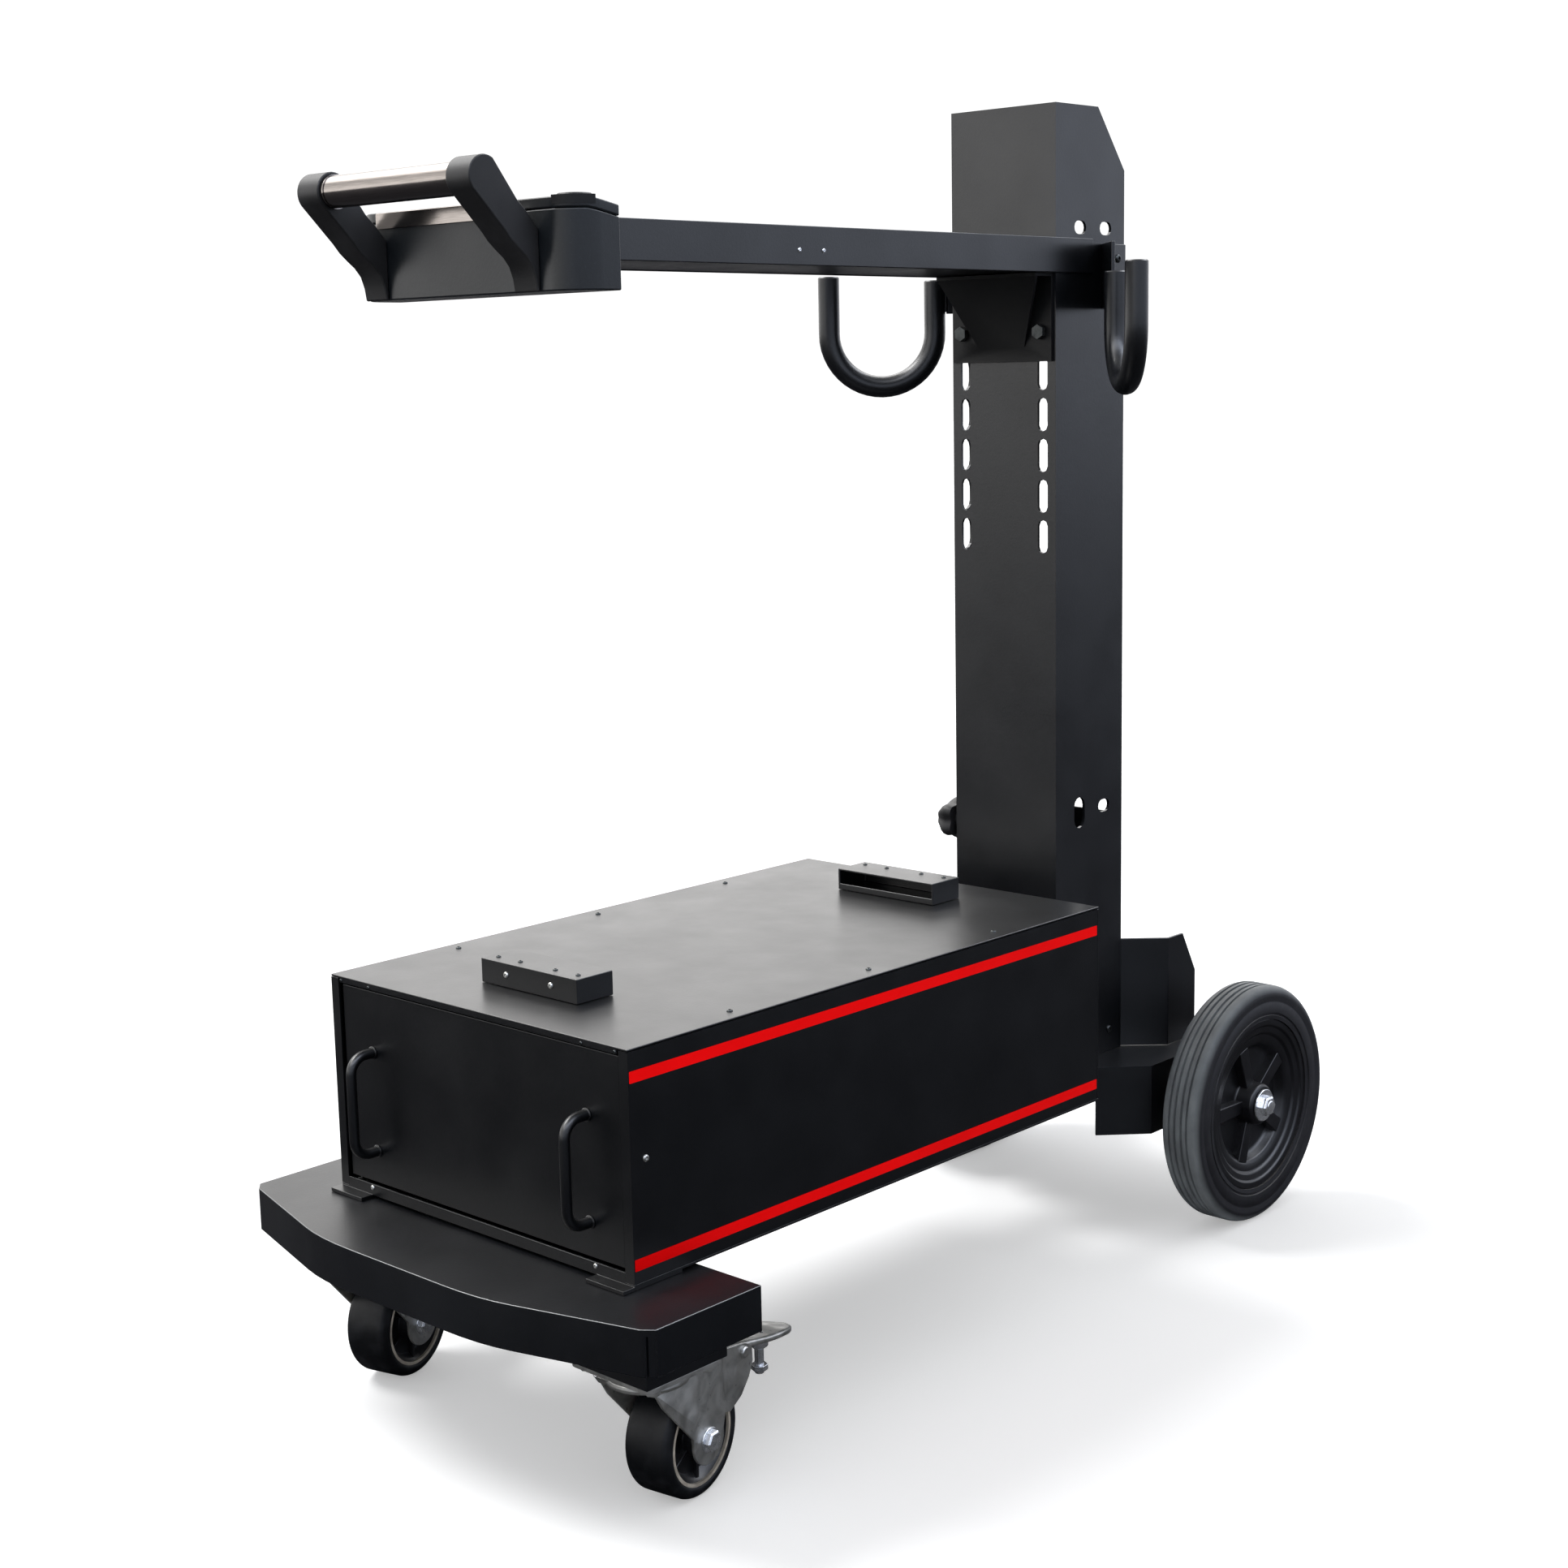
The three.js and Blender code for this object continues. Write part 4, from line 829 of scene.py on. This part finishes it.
def clamping_knob():
    """A five-lobed knob on its stud."""
    low, high = corners("mast_knob")
    centre = middle("mast_knob")
    lobe_reach = (high.z - low.z) / 2
    lobes, lobe_height, count = 5, 0.1, 80
    rings = [(0, 0.3), (1.5, 0.44), (5, 0.58), (11, 0.84), (15, 0.96), (19, 1), (25, 0.9)]
    verts = []
    for depth, size in rings:
        for k in range(count):
            t = 2 * math.pi * k / count
            r = lobe_reach * size * (1 - lobe_height + lobe_height * math.cos(lobes * t))
            verts.append((low.x + depth, centre.y + r * math.cos(t), centre.z + r * math.sin(t)))
    form = Form().add((verts, stacked(len(rings), count)))
    base = low.x + rings[-1][0]
    length = high.x - base
    stud = [(0, 0), (10, 0), (10, length - 15), (5, length - 14), (5, length), (0, length)]
    form.add(revolved(stud, 32), facing((base - 1, centre.y, centre.z), (1, 0, 0)))
    piece("knob", form, "knob", NYLON, ["mast_knob"], sharp=45)


def lid_plug():
    """A flat round plug with a shallow raised rim, and its tongue around the lid's corner."""
    low, high = corners("head_plug")
    centre = middle("head_plug")
    r, h = (high.x - low.x) / 2, high.z - low.z
    profile = [(0, h - 1.2), (r - 4.5, h - 1.2), (r - 3.6, h - 0.2), (r - 1.8, h), (r - 0.4, h - 1.2)]
    profile += [(r, 0.5), (r - 0.4, 0), (0, 0)]
    form = Form().add(revolved(profile, 64), facing((centre.x, centre.y, low.z), UP))
    lid_low, lid_high = corners("head_lid")
    corner = 28
    about = (lid_high.x - corner, lid_low.y + corner)
    skirt = arc(*about, corner + 0.7, -82, -12) + arc(*about, corner - 0.4, -12, -82)
    form.add(slab("z", skirt, lid_high.z - 6, lid_high.z + 0.9))
    piece("plug", form, "boom", MATT_COAT, ["head_plug"], sharp=45)


# ---------- tape and screws ----------


def stripes():
    """Two lines of tape along each side of the cabinet."""
    low, high = corners("cabinet_side_R")
    floor, top = corners("cabinet_bottom")[0].z, corners("cabinet_top")[1].z
    half_width, thickness = 4.8, 0.3
    for side, sign in SIDES.items():
        form = Form()
        for z in (top - 22.5, floor + 20):
            tape = rounded(low.y + 1.2, high.y - 1, z - half_width, z + half_width, 0.6, 3)
            form.add(slab("x", tape, *sided(sign, high.x, high.x + thickness)))
        piece(f"tape_{side}", form, "cart", RED, edge=0.1)


def cabinet_screws():
    """Small screws: black ones in the top, its hem and the saddles' tops, bright ones elsewhere."""
    low, high = corners("cabinet_top")
    lip = corners("cabinet_bottom")[0].z + 9.7
    dark, bright = Form(), Form()
    for sign in SIDES.values():
        for along in (129, 300, 474):
            dark.add(button_screw(2.6), facing((sign * (high.x - 16), low.y + along, high.z), UP))
        for inwards in (14, 52):
            hem = (sign * (high.x - inwards), low.y, low.z + 2)
            dark.add(button_screw(1.6), facing(hem, FORWARD))
        bright.add(button_screw(3), facing((sign * high.x, low.y + 16, high.z - 90), (sign, 0, 0)))
        bright.add(button_screw(2.2), facing((sign * (high.x - 44), low.y, lip), FORWARD))
    for node, outwards in (("saddle_front", -1), ("saddle_rear", 1)):
        foot, crest = corners(node)
        wall = foot.y if outwards < 0 else crest.y
        row = middle(node).y + 9 * outwards
        for x in (-28, 28):
            bright.add(button_screw(2.8), facing((x, wall, foot.z + 11), (0, outwards, 0)))
        for x in (-50, -22, 22, 50):
            dark.add(button_screw(2.2), facing((x, row, crest.z), UP))
    piece("cabinet_screws", bright, "cart", ZINC, sharp=40)
    piece("cabinet_screws_black", dark, "cart", BLACK_ZINC, sharp=40)


def frame_screws():
    """Screws in the hook brackets and the mast's foot."""
    mast_low, mast_high = corners("mast")
    plate = 4
    form = Form()
    for side, sign in SIDES.items():
        low, high = corners(f"hook_bracket_{side}")
        face = min(abs(low.x), abs(high.x)) + plate
        for z in (low.z + 14, high.z - 14):
            form.add(button_screw(4.2), facing((sign * face, high.y - 14, z), (sign, 0, 0)))
        for y in (mast_low.y + 23, mast_high.y - 22):
            form.add(button_screw(4), facing((sign * mast_high.x, y, mast_low.z + 24), (sign, 0, 0)))
    piece("frame_screws", form, "cart", BLACK_ZINC, sharp=40)


def boom_screws():
    """Two bright screws on each side of the boom and four in its top."""
    low, high = corners("boom")
    top_x = 46
    form = Form()
    for sign in SIDES.values():
        for y in (high.y - 430, high.y - 399):
            form.add(button_screw(2), facing((sign * high.x, y, low.z + 13), (sign, 0, 0)))
        for y in (low.y + 14, low.y + 40):
            form.add(button_screw(3.4), facing((sign * top_x, y, high.z), UP))
    piece("boom_screws", form, "boom", BRIGHT, sharp=40)


# ---------- stage, in metres and degrees ----------

CAMERA = {
    "place": (1.4574, -1.6466, 0.8895),
    "azimuth": 43.1,
    "elevation": 9.9,
    "roll": -1.2,
    "lens": 54.18,
    "shift": 0.004,
}


def make_camera():
    """The camera: it looks down by its elevation and is turned from +Y towards -X by its azimuth."""
    a, e, r = (math.radians(CAMERA[key]) for key in ("azimuth", "elevation", "roll"))
    ahead = Vector((-math.sin(a) * math.cos(e), math.cos(a) * math.cos(e), -math.sin(e)))
    level = Vector((math.cos(a), math.sin(a), 0))
    upright = level.cross(ahead)
    right = level * math.cos(r) + upright * math.sin(r)
    up = upright * math.cos(r) - level * math.sin(r)
    data = bpy.data.cameras.new("camera")
    data.lens = CAMERA["lens"]
    data.sensor_width = 36
    data.shift_x = CAMERA["shift"]
    data.clip_end = 100
    camera = bpy.data.objects.new("camera", data)
    turn = Matrix((right, up, -ahead)).transposed().to_4x4()
    camera.matrix_world = Matrix.Translation(CAMERA["place"]) @ turn
    bpy.context.scene.collection.objects.link(camera)
    bpy.context.scene.camera = camera


def make_floor():
    """A plain pale floor with light shadows, which the paint mirrors as a dark one."""
    mesh = bpy.data.meshes.new("floor")
    half = 30
    outline = [(-half, -half, 0), (half, -half, 0), (half, half, 0), (-half, half, 0)]
    mesh.from_pydata(outline, [], [range(len(outline))])
    floor = bpy.data.objects.new("floor", mesh)
    bpy.context.scene.collection.objects.link(floor)
    s = Shader("floor_paper", (0.9, 0.9, 0.9), 0.8, 0.0, 0.1)
    s.tint(s.ramp(s.noise(2, 3), 0.3, 0.7, 0, 0.3), (0.88, 0.88, 0.88))
    path = s.tree.nodes.new("ShaderNodeLightPath")
    s.tint(path.outputs["Is Glossy Ray"], (0.018, 0.018, 0.021))
    glow = s.maths("MULTIPLY", path.outputs["Is Camera Ray"], 0.33)
    s.link(glow, s.principled.inputs["Emission Strength"])
    s.principled.inputs["Emission Color"].default_value = (1, 1, 1, 1)
    mesh.materials.append(s.finish(0.03, 3))


def make_key_light():
    """A wide far light from the left, high up."""
    data = bpy.data.lights.new("key", "SUN")
    data.energy = 1.8
    data.angle = math.radians(22)
    light = bpy.data.objects.new("key", data)
    light.rotation_euler = Vector((-0.55, -0.25, 0.8)).to_track_quat("Z", "Y").to_euler()
    bpy.context.scene.collection.objects.link(light)


def make_world():
    """A white room with soft walls and a bright band high up, which the paint and the bars mirror."""
    world = bpy.data.worlds.new("studio")
    world.use_nodes = True
    tree = world.node_tree
    nodes, links = tree.nodes, tree.links
    split = nodes.new("ShaderNodeSeparateXYZ")
    links.new(nodes.new("ShaderNodeTexCoord").outputs["Generated"], split.inputs[0])

    def ramp(axis, *limits):
        """Maps a direction's part along an axis from one range to another."""
        return map_range(tree, split.outputs[axis], *limits)

    # The paint mirrors walls that darken upwards and to the right, and a band of lamps above them.
    walls = calculated(tree, "MULTIPLY", ramp("X", -0.7, 0.7, 1.95, 1.15), ramp("Z", 0, 0.6, 1.4, 0.5))
    band = calculated(tree, "MULTIPLY", ramp("Z", 0.5, 0.62, 0, 5.5), ramp("Z", 0.78, 0.9, 1, 0))
    mirrored = calculated(tree, "ADD", walls, band)
    cool = nodes.new("ShaderNodeMix")
    cool.data_type = "RGBA"
    cool.inputs[6].default_value = (1, 0.99, 0.98, 1)
    cool.inputs[7].default_value = (0.84, 0.92, 1.1, 1)
    links.new(ramp("X", -0.3, 0.7, 0, 1), cool.inputs["Factor"])
    room = nodes["Background"]
    room.inputs["Strength"].default_value = 0.8
    room.inputs["Color"].default_value = (0.97, 0.98, 1, 1)
    mirror = nodes.new("ShaderNodeBackground")
    links.new(mirrored, mirror.inputs["Strength"])
    links.new(cool.outputs[2], mirror.inputs["Color"])
    backdrop = nodes.new("ShaderNodeBackground")
    backdrop.inputs["Strength"].default_value = 1.1
    backdrop.inputs["Color"].default_value = (1, 1, 1, 1)
    path = nodes.new("ShaderNodeLightPath")
    shade = room
    for kind, background in (("Is Glossy Ray", mirror), ("Is Camera Ray", backdrop)):
        mix = nodes.new("ShaderNodeMixShader")
        links.new(path.outputs[kind], mix.inputs["Fac"])
        links.new(shade.outputs[0], mix.inputs[1])
        links.new(background.outputs[0], mix.inputs[2])
        shade = mix
    links.new(shade.outputs[0], nodes["World Output"].inputs["Surface"])
    bpy.context.scene.world = world


dress_sheet_metal()
for side in SIDES:
    tyre(side)
    wheel_hub(side)
    axle_bolt(side)
    caster_plate(side)
    caster_fork(side)
    caster_axle(side)
    caster_wheel(side)
    brake_pedal(side)
    brake_works(side)
    handle_cheek(side)
    hook(side)
    drawer_pull(side)
handle_grip()
# The strip that gives the lid's front edge its painted highlight.
lid_highlight_strip()
clamping_knob()
lid_plug()
stripes()
cabinet_screws()
frame_screws()
boom_screws()

make_camera()
make_floor()
make_world()
make_key_light()
bpy.context.scene.view_settings.view_transform = "Standard"
